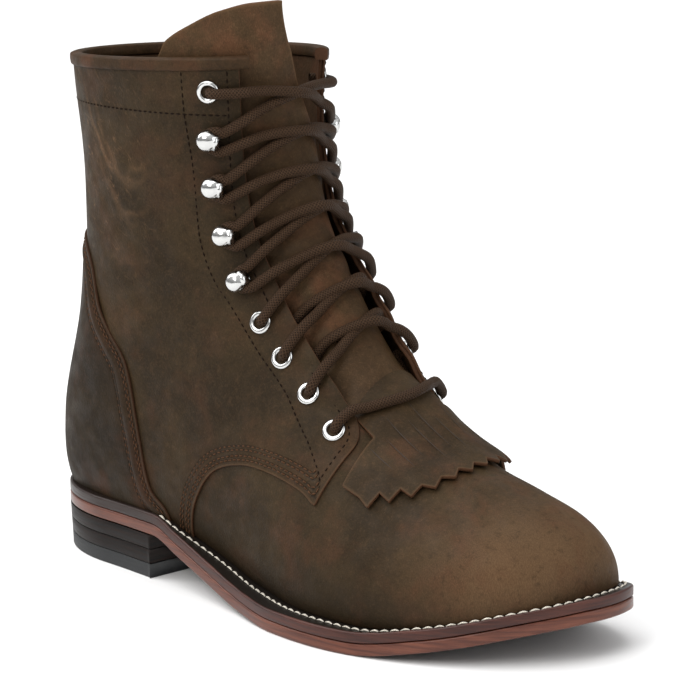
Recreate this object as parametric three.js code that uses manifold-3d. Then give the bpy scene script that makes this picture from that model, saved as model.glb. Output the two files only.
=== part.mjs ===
import * as THREE from "three";
import Module from "manifold-3d";

const wasm = await Module();
wasm.setup();

// Sizes of the boot in millimetres
const length = 302; // outsole, back of the heel to tip of the toe
const ball = 107; // outsole across the ball
const shaft = 222; // floor to the collar
const heelHeight = 19.4; // floor to the outsole at the seat
const heelShare = 0.285; // heel's length as a share of the outsole's
const outsoleThick = 5;
const weltThick = 4.3;
const insoleThick = 3;
const capThick = 6.2; // rubber piece that meets the floor
const soleRound = 0.7; // rounding of the sole's edges
const heelInset = 0.8; // of the heel's foot from its top
const gap = 0.3; // clearance between neighbouring pieces
const sheetGap = 0.7; // clearance of the tongue and flap, which bend over the form
const wall = 1.8; // vamp and lining
const lap = 1; // quarter's step over the vamp
const counterThick = 1.4;
const tongueThick = 2.6;
const kiltieThick = 1.5;
const bindingThick = 1;
const bindingDepth = 4.2;
const cord = 2.2; // lace radius
const eyeletOuter = 4.8;
const eyeletInner = 2.5;
const eyeletBarrel = 3.1;
const eyeletRise = 1.3;
const hookHead = 4.9;
const hookNeck = 2.2;
const hookFoot = 3.6;
const hookHeadThick = 2.2;

// Shares to millimetres, with the origin under the middle of the heel
const X = (share) => length * (share - heelShare / 2);
const Y = (share) => ball * share;
const Z = (share) => shaft * share;

// The form of the last and shaft, toe to collar, one section a row
// Points along the front and the back, half widths, where it is widest, roundness, sideways swing,
// and how far the front's ridge leans to the medial side
const sections = [
  // frontX, frontZ, backX, backZ, lateral, medial, widest, frontPower, backPower, swing, ridge
  [0.972, 0.135, 0.972, 0.105, 0.01, 0.01, 0.5, 2, 2, 0.122, 0],
  [0.966, 0.174, 0.966, 0.066, 0.14, 0.13, 0.4, 2, 2.4, 0.12, 0],
  [0.948, 0.213, 0.945, 0.035, 0.255, 0.23, 0.4, 2, 2.6, 0.112, 0],
  [0.908, 0.249, 0.902, 0.009, 0.36, 0.3, 0.38, 2.1, 2.8, 0.093, 0],
  [0.845, 0.277, 0.832, -0.018, 0.445, 0.35, 0.36, 2.1, 2.8, 0.068, 0.01],
  [0.765, 0.312, 0.736, -0.026, 0.49, 0.375, 0.34, 2, 2.8, 0.045, 0.025],
  [0.684, 0.382, 0.627, -0.026, 0.48, 0.375, 0.32, 1.95, 2.8, 0.025, 0.055],
  [0.622, 0.473, 0.518, -0.009, 0.42, 0.36, 0.33, 1.95, 2.8, 0.01, 0.07],
  [0.573, 0.566, 0.39, 0.02, 0.36, 0.34, 0.36, 2, 2.8, 0.005, 0.07],
  [0.534, 0.657, 0.2, 0.03, 0.335, 0.33, 0.44, 2.05, 2.7, 0, 0.055],
  [0.506, 0.733, 0.045, 0.09, 0.33, 0.325, 0.48, 2.1, 2.6, 0, 0.035],
  [0.488, 0.803, 0.012, 0.23, 0.33, 0.33, 0.5, 2.2, 2.3, 0, 0.02],
  [0.476, 0.875, 0.056, 0.455, 0.34, 0.34, 0.5, 2.2, 2.1, 0, 0.01],
  [0.471, 0.942, 0.076, 0.69, 0.36, 0.36, 0.5, 2.2, 2.1, 0, 0],
  [0.472, 1.012, 0.058, 0.988, 0.375, 0.375, 0.5, 2.3, 2.1, 0, 0],
  [0.478, 1.16, 0.05, 1.14, 0.38, 0.38, 0.5, 2.3, 2.1, 0, 0],
];
const topRow = sections.length - 1;
const collarRow = topRow - 1;

// Sole in plan, heel to toe
const plan = [
  // x, middle, half width
  [0, 0, 0.31],
  [0.075, 0, 0.316],
  [0.17, 0, 0.324],
  [0.27, -0.007, 0.338],
  [0.38, -0.02, 0.36],
  [0.49, -0.042, 0.398],
  [0.6, -0.054, 0.46],
  [0.7, -0.037, 0.487],
  [0.8, 0.005, 0.487],
  [0.88, 0.05, 0.487],
  [0.955, 0.107, 0.487],
  [1, 0.14, 0.487],
];
const heelRoundShare = 0.17; // of the length, taken by the heel's rounded end
const toeRoundShare = 0.3; // and by the toe's

// Underside of the outsole, as shares of the length and of the heel's height
const underside = [
  [0, 1],
  [0.29, 1],
  [0.35, 0.72],
  [0.43, 0.37],
  [0.525, 0.07],
  [0.6, 0],
  [0.74, 0],
  [0.845, 0.25],
  [0.975, 0.76],
  [1, 0.84],
];

// Front lower edge of the quarter in side view, welt to tip, then up the end of the facing
const quarterEdge = [
  // x, z
  [0.36, 0.05],
  [0.366, 0.11],
  [0.385, 0.18],
  [0.425, 0.245],
  [0.485, 0.272],
  [0.55, 0.272],
  [0.612, 0.256],
  [0.645, 0.235],
];
const facingEnd = [
  [0.668, 0.36],
  [0.69, 0.5],
];

// Edge of the counter in side view, welt to the back
const counterEdge = [
  // x, z
  [0.33, 0],
  [0.319, 0.13],
  [0.283, 0.178],
  [0.265, 0.28],
  [0.243, 0.405],
  [0.207, 0.467],
  [0.18, 0.515],
  [0.157, 0.59],
  [0.115, 0.635],
  [0.055, 0.652],
  [-0.05, 0.66],
];

// Throat between the facings
const throat = [
  // section row, half width
  [5.8, 0.03],
  [5.86, 0.12],
  [5.95, 0.188],
  [6.3, 0.193],
  [7.1, 0.174],
  [8.2, 0.166],
  [9.4, 0.169],
  [11, 0.19],
  [13, 0.209],
  [14, 0.22],
  [15, 0.225],
];

// Tongue, with its side edges in degrees round the form from the front
const tongueRows = [
  // section row, lateral, medial
  [5.2, 23, -20],
  [6, 33, -25],
  [7, 48, -36],
  [9, 63, -46],
  [10.5, 63, -40],
  [11.4, 64, -29],
  [12, 65, -18],
  [13, 69, -8],
  [14, 78, -1],
  [14.7, 84, 5],
];
const tongueTop = [
  // share across from lateral to medial, section row
  [0, 14],
  [0.1, 14.22],
  [0.27, 14.41],
  [0.5, 14.59],
  [0.75, 14.67],
  [1, 14.68],
];

// Pinked flap in plan over the foot of the throat
const kiltieSide = [
  // x, y
  [0.635, 0.17],
  [0.678, 0.17],
  [0.678, 0.325],
];
const kiltieFront = [
  // x, y
  [0.71, -0.345],
  [0.745, -0.27],
  [0.775, -0.155],
  [0.787, 0.03],
  [0.778, 0.19],
  [0.748, 0.29],
  [0.715, 0.345],
];
const pinks = 11; // points of the zigzag edge
const pinkShare = 0.034; // their depth as a share of the ball

// Lacing from the collar down, with what holds the cord
const lacing = [
  // section row, half width, hook
  [13.48, 0.286, false],
  [12.6, 0.271, true],
  [11.65, 0.254, true],
  [10.61, 0.234, true],
  [9.62, 0.224, true],
  [8.84, 0.226, false],
  [8.18, 0.228, false],
  [7.4, 0.236, false],
  [6.62, 0.256, false],
];

// Row of a table at a place between its rows, on a smooth curve
function rowAt(table, s) {
  const i = Math.min(Math.max(Math.floor(s), 0), table.length - 2);
  const t = s - i;
  const from = table[i];
  const to = table[i + 1];
  const before = table[i - 1] ?? from.map((v, k) => 2 * v - to[k]);
  const after = table[i + 2] ?? to.map((v, k) => 2 * v - from[k]);
  return from.map((v, k) => {
    const linear = (to[k] - before[k]) * t;
    const square = (2 * before[k] - 5 * v + 4 * to[k] - after[k]) * t * t;
    const cube = (3 * v - before[k] - 3 * to[k] + after[k]) * t ** 3;
    return 0.5 * (2 * v + linear + square + cube);
  });
}

// Columns of a table at a value of its first column
function lookUp(table, value, smooth = true) {
  const last = table.length - 1;
  const i = Math.max(0, Math.min(last - 1, table.findIndex((row) => row[0] > value) - 1));
  const from = value >= table[last][0] ? last - 1 : i;
  const span = table[from + 1][0] - table[from][0];
  const t = Math.min(1, Math.max(0, (value - table[from][0]) / span));
  if (!smooth) return table[from].map((v, k) => v + (table[from + 1][k] - v) * t);
  const slope = (row, k) => {
    if (row === 0 || row === last) return 0;
    const left = (table[row][k] - table[row - 1][k]) / (table[row][0] - table[row - 1][0]);
    const right = (table[row + 1][k] - table[row][k]) / (table[row + 1][0] - table[row][0]);
    return left * right <= 0 ? 0 : (2 * left * right) / (left + right);
  };
  return table[from].map((v, k) => {
    const rise = table[from + 1][k] - v;
    const start = slope(from, k) * span;
    const end = slope(from + 1, k) * span;
    return v + start * t + (3 * rise - 2 * start - end) * t * t + (start + end - 2 * rise) * t ** 3;
  });
}

// Point of the form at a section row and an angle from the front, lateral side first
function skin(s, angle) {
  const row = rowAt(sections, s);
  const [frontX, frontZ, backX, backZ, lateral, medial, widest] = row;
  const [frontPower, backPower, swing, ridge] = row.slice(7);
  const c = Math.cos(angle);
  const n = Math.sin(angle);
  const power = c >= 0 ? frontPower : backPower;
  const reach = Math.abs(c) ** (2 / power);
  const along = c >= 0 ? widest + (1 - widest) * reach : widest - widest * reach;
  const half = (n >= 0 ? -lateral : medial) * Math.abs(n) ** (2 / power);
  const x = backX + (frontX - backX) * along;
  const z = backZ + (frontZ - backZ) * along;
  const lean = ridge * Math.max(0, c) ** 2;
  return new THREE.Vector3(X(x), Y(swing + half + lean), Z(z));
}

function normalAt(s, angle) {
  const ds = skin(Math.min(s + 0.03, topRow), angle).sub(skin(Math.max(s - 0.03, 0), angle));
  const da = skin(s, angle + 0.02).sub(skin(s, angle - 0.02));
  return ds.cross(da).normalize();
}

const surface = (s, angle, out) => skin(s, angle).addScaledVector(normalAt(s, angle), out);

// Angle at which a section's front half is a share of the ball away from its middle
function angleOf(s, share) {
  const swing = rowAt(sections, s)[9];
  let low = -Math.PI / 2;
  let high = Math.PI / 2;
  for (let i = 0; i < 24; i++) {
    const middle = (low + high) / 2;
    if (skin(s, middle).y > Y(swing + share)) low = middle;
    else high = middle;
  }
  return (low + high) / 2;
}

const onFront = (s, share, out) => surface(s, angleOf(s, share), out);

// Closed body from vertices and triangles, turned the right way out
function body(points, triangles) {
  const volume = triangles.reduce((sum, [a, b, c]) => {
    return sum + points[a].dot(points[b].clone().cross(points[c]));
  }, 0);
  const turned = volume < 0 ? triangles.map(([a, b, c]) => [a, c, b]) : triangles;
  const vertProperties = new Float32Array(points.flatMap((p) => [p.x, p.y, p.z]));
  const triVerts = new Uint32Array(turned.flat());
  return new wasm.Manifold(new wasm.Mesh({ numProp: 3, vertProperties, triVerts }));
}

// Closed body through rings of points, with flat ends or joined end to end
function through(rings, joined = false) {
  const count = rings[0].length;
  const at = (i, j) => (i % rings.length) * count + (j % count);
  const triangles = [];
  const spans = joined ? rings.length : rings.length - 1;
  for (let i = 0; i < spans; i++) {
    for (let j = 0; j < count; j++) {
      triangles.push([at(i, j), at(i + 1, j), at(i + 1, j + 1)]);
      triangles.push([at(i, j), at(i + 1, j + 1), at(i, j + 1)]);
    }
  }
  if (!joined) {
    const last = rings.length - 1;
    for (let a = 0; a < count / 2 - 1; a++) {
      const b = count - 1 - a;
      triangles.push([at(0, a), at(0, a + 1), at(0, b)]);
      if (b - 1 > a + 1) triangles.push([at(0, a + 1), at(0, b - 1), at(0, b)]);
      triangles.push([at(last, a + 1), at(last, a), at(last, b)]);
      if (b - 1 > a + 1) triangles.push([at(last, b - 1), at(last, a + 1), at(last, b)]);
    }
  }
  return body(rings.flat(), triangles);
}

const steps = (from, to, count) =>
  Array.from({ length: count + 1 }, (_, i) => from + ((to - from) * i) / count);

const around = 28; // facets round the form
const turnAngles = steps(0, 2 * Math.PI, around).slice(0, -1);

const perRow = 2; // facets along the form for each section row

// The form grown by a distance, between two section rows
function form(from, to, out, density = perRow) {
  const rows = steps(from, to, (to - from) * density);
  return through(rows.map((s) => turnAngles.map((a) => surface(s, a, out))));
}

// Prism over an outline in side view, right across the boot
function across(outline) {
  const side = (y) => outline.map(([x, z]) => new THREE.Vector3(x, y, z));
  const flat = outline.map(([x, z]) => new THREE.Vector2(x, z));
  const faces = THREE.ShapeUtils.triangulateShape(flat, []);
  return prism(side(-ball), side(ball), faces);
}

// Prism over an outline in plan, from the floor up
function upright(outline) {
  const level = (z) => outline.map(([x, y]) => new THREE.Vector3(x, y, z));
  const flat = outline.map(([x, y]) => new THREE.Vector2(x, y));
  const faces = THREE.ShapeUtils.triangulateShape(flat, []);
  return prism(level(0), level(shaft), faces);
}

function prism(low, high, faces) {
  const count = low.length;
  const triangles = faces.map(([a, b, c]) => [a, b, c]);
  faces.forEach(([a, b, c]) => triangles.push([a + count, c + count, b + count]));
  const turn = THREE.ShapeUtils.isClockWise(low.map((p) => new THREE.Vector2(p.x, p.y + p.z)));
  low.forEach((_, i) => {
    const j = (i + 1) % count;
    const [a, b] = turn ? [i, j] : [j, i];
    triangles.push([a, b, b + count], [a, b + count, a + count]);
  });
  return body([...low, ...high], triangles);
}

const curve = (points, count) =>
  new THREE.SplineCurve(points.map(([x, z]) => new THREE.Vector2(X(x), Z(z))))
    .getPoints(count)
    .map((p) => [p.x, p.y]);

// Height of the outsole's underside and of the welt's top at a share of the length
const underAt = (share) => heelHeight * lookUp(underside, share)[1];
const outsoleTop = (share) => underAt(share) + outsoleThick;
const weltBase = (share) => outsoleTop(share) + gap;
const weltTop = (share) => weltBase(share) + weltThick;

// Half widths of the sole at a share of the length
function soleAt(share) {
  const [, middle, half] = lookUp(plan, share);
  const heelPart = Math.max(0, 1 - share / heelRoundShare);
  const toePart = Math.max(0, (share - 1 + toeRoundShare) / toeRoundShare);
  const width = half * Math.sqrt(1 - heelPart ** 2) * (1 - toePart ** 2.1) ** (1 / 2.1);
  return [Y(middle - width), Y(middle + width)];
}

// Places along the sole, closer together at its rounded ends
function stations(to, count) {
  const places = steps(0, 1, count).map((t) => (1 - Math.cos(Math.PI * t)) / 2);
  const blend = places.map((p, i) => 0.8 * p + (0.2 * i) / count);
  return to === 1 ? blend : steps(0, 1, count).map((t) => to * t ** 2);
}

// Loop round the sole at an inset, lateral side first
function soleLoop(to, count, inset) {
  const places = stations(to, count);
  const lateral = places.map((p) => new THREE.Vector2(X(p), soleAt(p)[0]));
  const medial = places.map((p) => new THREE.Vector2(X(p), soleAt(p)[1])).reverse();
  const loop = [...lateral, ...(to === 1 ? medial.slice(1, -1) : medial.slice(0, -1))];
  const n = loop.length;
  return loop.map((p, i) => {
    const before = loop[(i + n - 1) % n];
    const after = loop[(i + 1) % n];
    const inward = new THREE.Vector2(before.y - after.y, after.x - before.x).normalize();
    return p.clone().addScaledVector(inward, inset);
  });
}

// Layer of the sole between two heights, from [inset, side of the layer, distance from it]
function layer(to, count, low, high, profile) {
  const share = (x) => Math.min(1, Math.max(0, x / length + heelShare / 2));
  return through(
    profile.map(([inset, top, away]) =>
      soleLoop(to, count, inset).map((p) => {
        const z = top ? high(share(p.x)) - away : low(share(p.x)) + away;
        return new THREE.Vector3(p.x, p.y, z);
      }),
    ),
  );
}

const rounded = [
  [soleRound, false, 0],
  [0, false, soleRound],
  [0, true, soleRound],
  [soleRound, true, 0],
];
const outsole = layer(1, 32, underAt, outsoleTop, rounded);
const welt = layer(1, 32, weltBase, weltTop, rounded);

// Heel of two leather lifts over a rubber cap, each narrower than the last
const liftThick = (heelHeight - capThick - 3 * gap) / 2;
function heelLayer(low, high) {
  const insetAt = (z) => (heelInset * (heelHeight - z)) / heelHeight;
  const profile = [
    [insetAt(low), false, 0],
    [insetAt(high), true, 0],
  ];
  return layer(heelShare, 12, () => low, () => high, profile);
}
const heelCap = heelLayer(0, capThick);
const heelLiftLow = heelLayer(capThick + gap, capThick + gap + liftThick);
const heelLiftHigh = heelLayer(capThick + 2 * gap + liftThick, heelHeight - gap);

// Solid below the top of the welt, which the upper stands on
function below(rise) {
  const xs = steps(-0.1, 1.1, 48);
  const clamp = (share) => Math.min(1, Math.max(0, share));
  const top = xs.map((x) => [X(x), weltTop(clamp(x)) + rise]);
  return across([...top, [X(1.1), -shaft], [X(-0.1), -shaft]]);
}

// Space above the collar
function aboveCollar(rise) {
  const [frontX, frontZ, backX, backZ] = sections[collarRow];
  const slope = (frontZ - backZ) / (frontX - backX);
  const height = (x) => Z(frontZ + slope * (x - frontX)) + rise;
  return across([
    [X(-0.3), height(-0.3)],
    [X(1), height(1)],
    [X(1), Z(2)],
    [X(-0.3), Z(2)],
  ]);
}

// Slot between the facings
function slot() {
  const rows = throat.flatMap(([s], i) => {
    const next = throat[i + 1];
    return next ? steps(s, next[0], i < 3 ? 1 : 3).slice(0, -1) : [s];
  });
  const ring = (s) => {
    const [frontX, frontZ, backX, backZ, , , , , , swing] = rowAt(sections, s);
    const half = lookUp(throat, s, false)[1];
    const at = (along, side) =>
      new THREE.Vector3(
        X(backX + (frontX - backX) * along),
        Y(swing + side * half),
        Z(backZ + (frontZ - backZ) * along),
      );
    return [at(0.62, -1), at(1.3, -1), at(1.3, 1), at(0.62, 1)];
  };
  return through(rows.map(ring));
}

// Round piece on the surface, from [radius, height] points, open in the middle or closed
function turned(s, share, profile, count, open) {
  const base = onFront(s, share, lap);
  const axis = normalAt(s, angleOf(s, share));
  const first = new THREE.Vector3(0, 0, 1).cross(axis).normalize();
  const second = axis.clone().cross(first);
  const circle = ([radius, height]) =>
    steps(0, 2 * Math.PI, count).slice(0, -1).map((a) =>
      base
        .clone()
        .addScaledVector(axis, height)
        .addScaledVector(first, radius * Math.cos(a))
        .addScaledVector(second, radius * Math.sin(a)),
    );
  return through(profile.map(circle), open);
}

const sides = [
  ["lateral", -1],
  ["medial", 1],
];

// Upper: quarters stepped over the vamp, hollow, open at collar, throat and sole
const quarterRegion = across([
  ...curve(quarterEdge, 18),
  ...facingEnd.map(([x, z]) => [X(x), Z(z)]),
  [X(1), Z(1.2)],
  [X(1), Z(2)],
  [X(-0.5), Z(2)],
  [X(-0.5), Z(-0.3)],
  [X(0.36), Z(-0.3)],
]);
const hollow = (out) => form(0, topRow, out, 1.5);
const vampForm = form(0, topRow, 0);
const quarterForm = form(4, topRow, lap).intersect(quarterRegion);
let upper = vampForm
  .add(quarterForm)
  .subtract(hollow(-wall))
  .subtract(below(gap))
  .subtract(aboveCollar(0))
  .subtract(slot());
for (const [s, half, hook] of lacing) {
  if (hook) continue;
  for (const [, side] of sides) {
    const bore = [
      [eyeletBarrel + gap, -2 * wall - lap],
      [eyeletBarrel + gap, 2 * wall],
    ];
    upper = upper.subtract(turned(s, side * half, bore, 12, false));
  }
}

// Insole inside the upper's foot
const insoleBand = across([
  ...steps(-0.02, 1.02, 40).map((x) => [X(x), weltTop(Math.min(1, Math.max(0, x))) + gap]),
  ...steps(1.02, -0.02, 40).map((x) => [
    X(x),
    weltTop(Math.min(1, Math.max(0, x))) + gap + insoleThick,
  ]),
]);
const insole = hollow(-wall - gap).intersect(insoleBand);

// Counter over the back of the quarters
const counterRegion = across([
  ...curve(counterEdge, 20),
  [X(-0.3), Z(0.66)],
  [X(-0.3), Z(-0.1)],
  [X(0.33), Z(-0.1)],
]);
const counter = form(8, 13, lap + gap + counterThick)
  .subtract(form(7, 14, lap + gap))
  .intersect(counterRegion)
  .subtract(below(gap));

// Sheet that follows the form, from a point for each place along and across
function sheet(along, wide, place, low, high) {
  const ring = (v) => {
    const top = steps(0, 1, wide).map((t) => place(v, t, high));
    const under = steps(1, 0, wide).map((t) => place(v, t, low));
    return [...top, ...under];
  };
  return through(steps(0, 1, along).map(ring));
}

// Tongue under the facings and up past the collar
const ease = (from, to, s) => THREE.MathUtils.smoothstep(s, from, to);
const tongueDip = (s) => -wall - sheetGap - (bindingThick + gap) * ease(12, 13.5, s);
const tongue = sheet(
  16,
  8,
  (v, t, out) => {
    const top = lookUp(tongueTop, t)[1];
    const s = tongueRows[0][0] + (top - tongueRows[0][0]) * v;
    const [, lateral, medial] = lookUp(tongueRows, s);
    const angle = THREE.MathUtils.degToRad(lateral + (medial - lateral) * t);
    return surface(s, angle, tongueDip(s) + out);
  },
  -tongueThick,
  0,
);

// Pinked flap over the vamp and the foot of the tongue
function zigzag() {
  const path = new THREE.SplineCurve(kiltieFront.map(([x, y]) => new THREE.Vector2(X(x), Y(y))));
  const edge = path.getSpacedPoints(2 * pinks);
  return edge.map((p, i) => {
    const before = edge[Math.max(0, i - 1)];
    const after = edge[Math.min(edge.length - 1, i + 1)];
    const outward = new THREE.Vector2(after.y - before.y, before.x - after.x).normalize();
    const reach = i % 2 ? Y(pinkShare) : 0;
    return [p.x + outward.x * reach, p.y + outward.y * reach];
  });
}
const kiltieOutline = upright([
  ...kiltieSide.map(([x, y]) => [X(x), Y(-y)]),
  ...zigzag(),
  ...kiltieSide.map(([x, y]) => [X(x), Y(y)]).reverse(),
]);
const kiltieDip = (s) => sheetGap + gap - (wall + sheetGap) * ease(6.1, 6.6, s);
const kiltie = sheet(
  10,
  10,
  (v, t, out) => {
    const s = 4.2 + 2.8 * v;
    return onFront(s, -0.4 + 0.8 * t, kiltieDip(s) + out);
  },
  0,
  kiltieThick,
).intersect(kiltieOutline);

// Binding folded over the collar from one facing round the back to the other
const bindingLeg = [
  // out from the form, height from the collar
  [lap + gap + bindingThick, -bindingDepth],
  [lap + gap + bindingThick, gap],
  [lap + gap + 0.3 * bindingThick, gap + bindingThick],
  [-wall - gap - 0.3 * bindingThick, gap + bindingThick],
  [-wall - gap - bindingThick, gap],
  [-wall - gap - bindingThick, -bindingDepth],
  [-wall - gap, -bindingDepth],
  [-wall - gap, gap],
  [lap + gap, gap],
  [lap + gap, -bindingDepth],
];
const bindingStart = angleOf(collarRow, -lookUp(throat, collarRow, false)[1]);
const bindingEnd = 2 * Math.PI - bindingStart;
const bindingTurn = turnAngles.filter((a) => a > bindingStart + 0.05 && a < bindingEnd - 0.05);
const binding = through(
  [bindingStart, ...bindingTurn, bindingEnd].map((a) => {
    const rise = (skin(collarRow, a).z - skin(collarRow - 0.1, a).z) / 0.1;
    return bindingLeg.map(([out, z]) => surface(collarRow + z / rise, a, out));
  }),
);

// Eyelets through the facings, and hooks with a neck for the cord
const eyeletProfile = [
  [eyeletInner, -wall - lap + 0.1],
  [eyeletBarrel, -wall - lap + 0.1],
  [eyeletBarrel, gap],
  [eyeletOuter, gap],
  [eyeletOuter - 0.2, gap + 0.6 * eyeletRise],
  [(eyeletOuter + eyeletInner) / 2, gap + eyeletRise],
  [eyeletInner, gap + 0.6 * eyeletRise],
];
const cordOut = lap + cord + 2.5 * gap; // middle of the cord over the form
const hookCordOut = cordOut + gap; // the same beside a hook
const hookReach = hookCordOut - lap + cord + gap; // underside of the head over the facing
const hookProfile = [
  [hookFoot, gap],
  [hookFoot - 0.4, gap + 0.5],
  [hookNeck, gap + 1],
  [hookNeck, hookReach],
  [hookHead, hookReach + 0.3],
  [hookHead - 0.4, hookReach + 0.6 * hookHeadThick],
  [0.45 * hookHead, hookReach + hookHeadThick],
];

// Cord along points of the front, with its frame from the surface
function cordBetween(from, to) {
  const points = steps(0, 1, 6).map((t) => {
    const s = from[0] + (to[0] - from[0]) * t;
    const share = from[1] + (to[1] - from[1]) * t;
    const out = from[2] + (to[2] - from[2]) * t;
    return [onFront(s, share, out), normalAt(s, angleOf(s, share))];
  });
  const rings = points.map(([p, up], i) => {
    const before = points[Math.max(0, i - 1)][0];
    const after = points[Math.min(points.length - 1, i + 1)][0];
    const side = after.clone().sub(before).normalize().cross(up).normalize();
    return steps(0, 2 * Math.PI, 6).slice(0, -1).map((a) =>
      p
        .clone()
        .addScaledVector(up, cord * Math.cos(a))
        .addScaledVector(side, cord * Math.sin(a)),
    );
  });
  return through(rings);
}

// Section row a distance along the front from another
function rowAway(s, share, distance) {
  const rate = onFront(s + 0.05, share, 0).distanceTo(onFront(s - 0.05, share, 0)) / 0.1;
  return s + distance / rate;
}

// Where a cord ends beside its hook or eyelet, above or below its middle
function cordEnd([s, half, hook], side, up) {
  const clear = hook ? hookNeck + gap + 0.2 : eyeletOuter + gap + 0.2;
  const out = hook ? hookCordOut : cordOut;
  return [rowAway(s, side * half, up * (cord + 2 * gap)), side * (half - clear / ball), out];
}

const leather = 0x4a3a2c;
const colours = {
  outsole: 0x74463a,
  welt: 0x2a1d16,
  insole: 0x8a6a4c,
  heel: 0x2a2726,
  rubber: 0x1c1b1b,
  upper: leather,
  counter: 0x4f3a2d,
  binding: 0x6e4d38,
  tongue: 0x5a4032,
  kiltie: 0x5a4334,
  metal: 0xc9c9c6,
  lace: 0x3a261c,
};

const boot = new THREE.Group();
boot.name = "boot";
function addNode(name, solid, colour, metalness = 0) {
  const made = solid.getMesh();
  const geometry = new THREE.BufferGeometry();
  geometry.setAttribute("position", new THREE.BufferAttribute(made.vertProperties, 3));
  geometry.setIndex(new THREE.BufferAttribute(made.triVerts, 1));
  geometry.computeVertexNormals();
  const roughness = metalness ? 0.25 : 0.7;
  const material = new THREE.MeshStandardMaterial({ color: colour, metalness, roughness });
  const mesh = new THREE.Mesh(geometry, material);
  mesh.name = name;
  boot.add(mesh);
}

addNode("outsole", outsole, colours.outsole);
addNode("welt", welt, colours.welt);
addNode("insole", insole, colours.insole);
addNode("heel_cap", heelCap, colours.rubber);
addNode("heel_lift_low", heelLiftLow, colours.heel);
addNode("heel_lift_high", heelLiftHigh, colours.heel);
addNode("upper", upper, colours.upper);
addNode("counter", counter, colours.counter);
addNode("collar_binding", binding, colours.binding);
addNode("tongue", tongue, colours.tongue);
addNode("kiltie", kiltie, colours.kiltie);
lacing.forEach(([s, half, hook], i) => {
  for (const [name, side] of sides) {
    const profile = hook ? hookProfile : eyeletProfile;
    const piece = turned(s, side * half, profile, 8, !hook);
    addNode(`${hook ? "hook" : "eyelet"}_${name}_${i + 1}`, piece, colours.metal, 1);
  }
});
for (let i = 0; i < lacing.length - 2; i++) {
  const strands = sides.map(([, side]) =>
    cordBetween(cordEnd(lacing[i + 1], side, 1), cordEnd(lacing[i], -side, -1)),
  );
  addNode(`lace_cross_${i + 1}`, strands[0].add(strands[1]), colours.lace);
}
const foot = lacing[lacing.length - 1];
const bar = cordBetween(cordEnd(foot, -1, -1), cordEnd(foot, 1, -1));
addNode("lace_bar", bar, colours.lace);

export default boot;
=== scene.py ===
import math

import bmesh
import bpy
import numpy as np
from mathutils import Matrix, Vector


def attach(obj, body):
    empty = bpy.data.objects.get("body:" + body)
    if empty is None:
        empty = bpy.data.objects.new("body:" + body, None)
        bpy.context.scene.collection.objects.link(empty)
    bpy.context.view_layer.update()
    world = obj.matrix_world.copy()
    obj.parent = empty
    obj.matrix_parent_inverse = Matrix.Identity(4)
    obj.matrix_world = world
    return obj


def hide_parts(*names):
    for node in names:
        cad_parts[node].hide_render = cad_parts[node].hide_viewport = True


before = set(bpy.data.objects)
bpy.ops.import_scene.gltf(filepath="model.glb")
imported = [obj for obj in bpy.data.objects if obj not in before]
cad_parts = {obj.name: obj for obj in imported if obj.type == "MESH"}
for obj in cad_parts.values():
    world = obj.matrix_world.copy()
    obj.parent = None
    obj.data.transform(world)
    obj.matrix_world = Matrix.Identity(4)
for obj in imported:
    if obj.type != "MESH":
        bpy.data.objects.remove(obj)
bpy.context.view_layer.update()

# Sizes of the boot in millimetres, as in its solids
LENGTH, BALL, SHAFT = 302.0, 107.0, 222.0
HEEL_HEIGHT, HEEL_SHARE = 19.4, 0.285
OUTSOLE, WELT, CAP = 5.0, 4.3, 6.2
GAP, SHEET_GAP, WALL, LAP = 0.3, 0.7, 1.8, 1.0
COUNTER, TONGUE, KILTIE = 1.4, 2.6, 1.5
BINDING, BINDING_DEPTH = 1.0, 4.2
CORD = 2.2
HEEL_INSET = 0.8
HEEL_ROUND, TOE_ROUND = 0.17, 0.3
METRE = 0.001

# The form of the last and shaft, toe to collar, one section a row
SECTIONS = np.array([
    # front x, front z, back x, back z, lateral, medial, widest, front power, back power, swing, ridge
    [0.972, 0.135, 0.972, 0.105, 0.01, 0.01, 0.5, 2, 2, 0.122, 0],
    [0.966, 0.174, 0.966, 0.066, 0.14, 0.13, 0.4, 2, 2.4, 0.12, 0],
    [0.948, 0.213, 0.945, 0.035, 0.255, 0.23, 0.4, 2, 2.6, 0.112, 0],
    [0.908, 0.249, 0.902, 0.009, 0.36, 0.3, 0.38, 2.1, 2.8, 0.093, 0],
    [0.845, 0.277, 0.832, -0.018, 0.445, 0.35, 0.36, 2.1, 2.8, 0.068, 0.01],
    [0.765, 0.312, 0.736, -0.026, 0.49, 0.375, 0.34, 2, 2.8, 0.045, 0.025],
    [0.684, 0.382, 0.627, -0.026, 0.48, 0.375, 0.32, 1.95, 2.8, 0.025, 0.055],
    [0.622, 0.473, 0.518, -0.009, 0.42, 0.36, 0.33, 1.95, 2.8, 0.01, 0.07],
    [0.573, 0.566, 0.39, 0.02, 0.36, 0.34, 0.36, 2, 2.8, 0.005, 0.07],
    [0.534, 0.657, 0.2, 0.03, 0.335, 0.33, 0.44, 2.05, 2.7, 0, 0.055],
    [0.506, 0.733, 0.045, 0.09, 0.33, 0.325, 0.48, 2.1, 2.6, 0, 0.035],
    [0.488, 0.803, 0.012, 0.23, 0.33, 0.33, 0.5, 2.2, 2.3, 0, 0.02],
    [0.476, 0.875, 0.056, 0.455, 0.34, 0.34, 0.5, 2.2, 2.1, 0, 0.01],
    [0.471, 0.942, 0.076, 0.69, 0.36, 0.36, 0.5, 2.2, 2.1, 0, 0],
    [0.472, 1.012, 0.058, 0.988, 0.375, 0.375, 0.5, 2.3, 2.1, 0, 0],
    [0.478, 1.16, 0.05, 1.14, 0.38, 0.38, 0.5, 2.3, 2.1, 0, 0],
])
TOP_ROW = len(SECTIONS) - 1
COLLAR_ROW = TOP_ROW - 1

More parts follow.
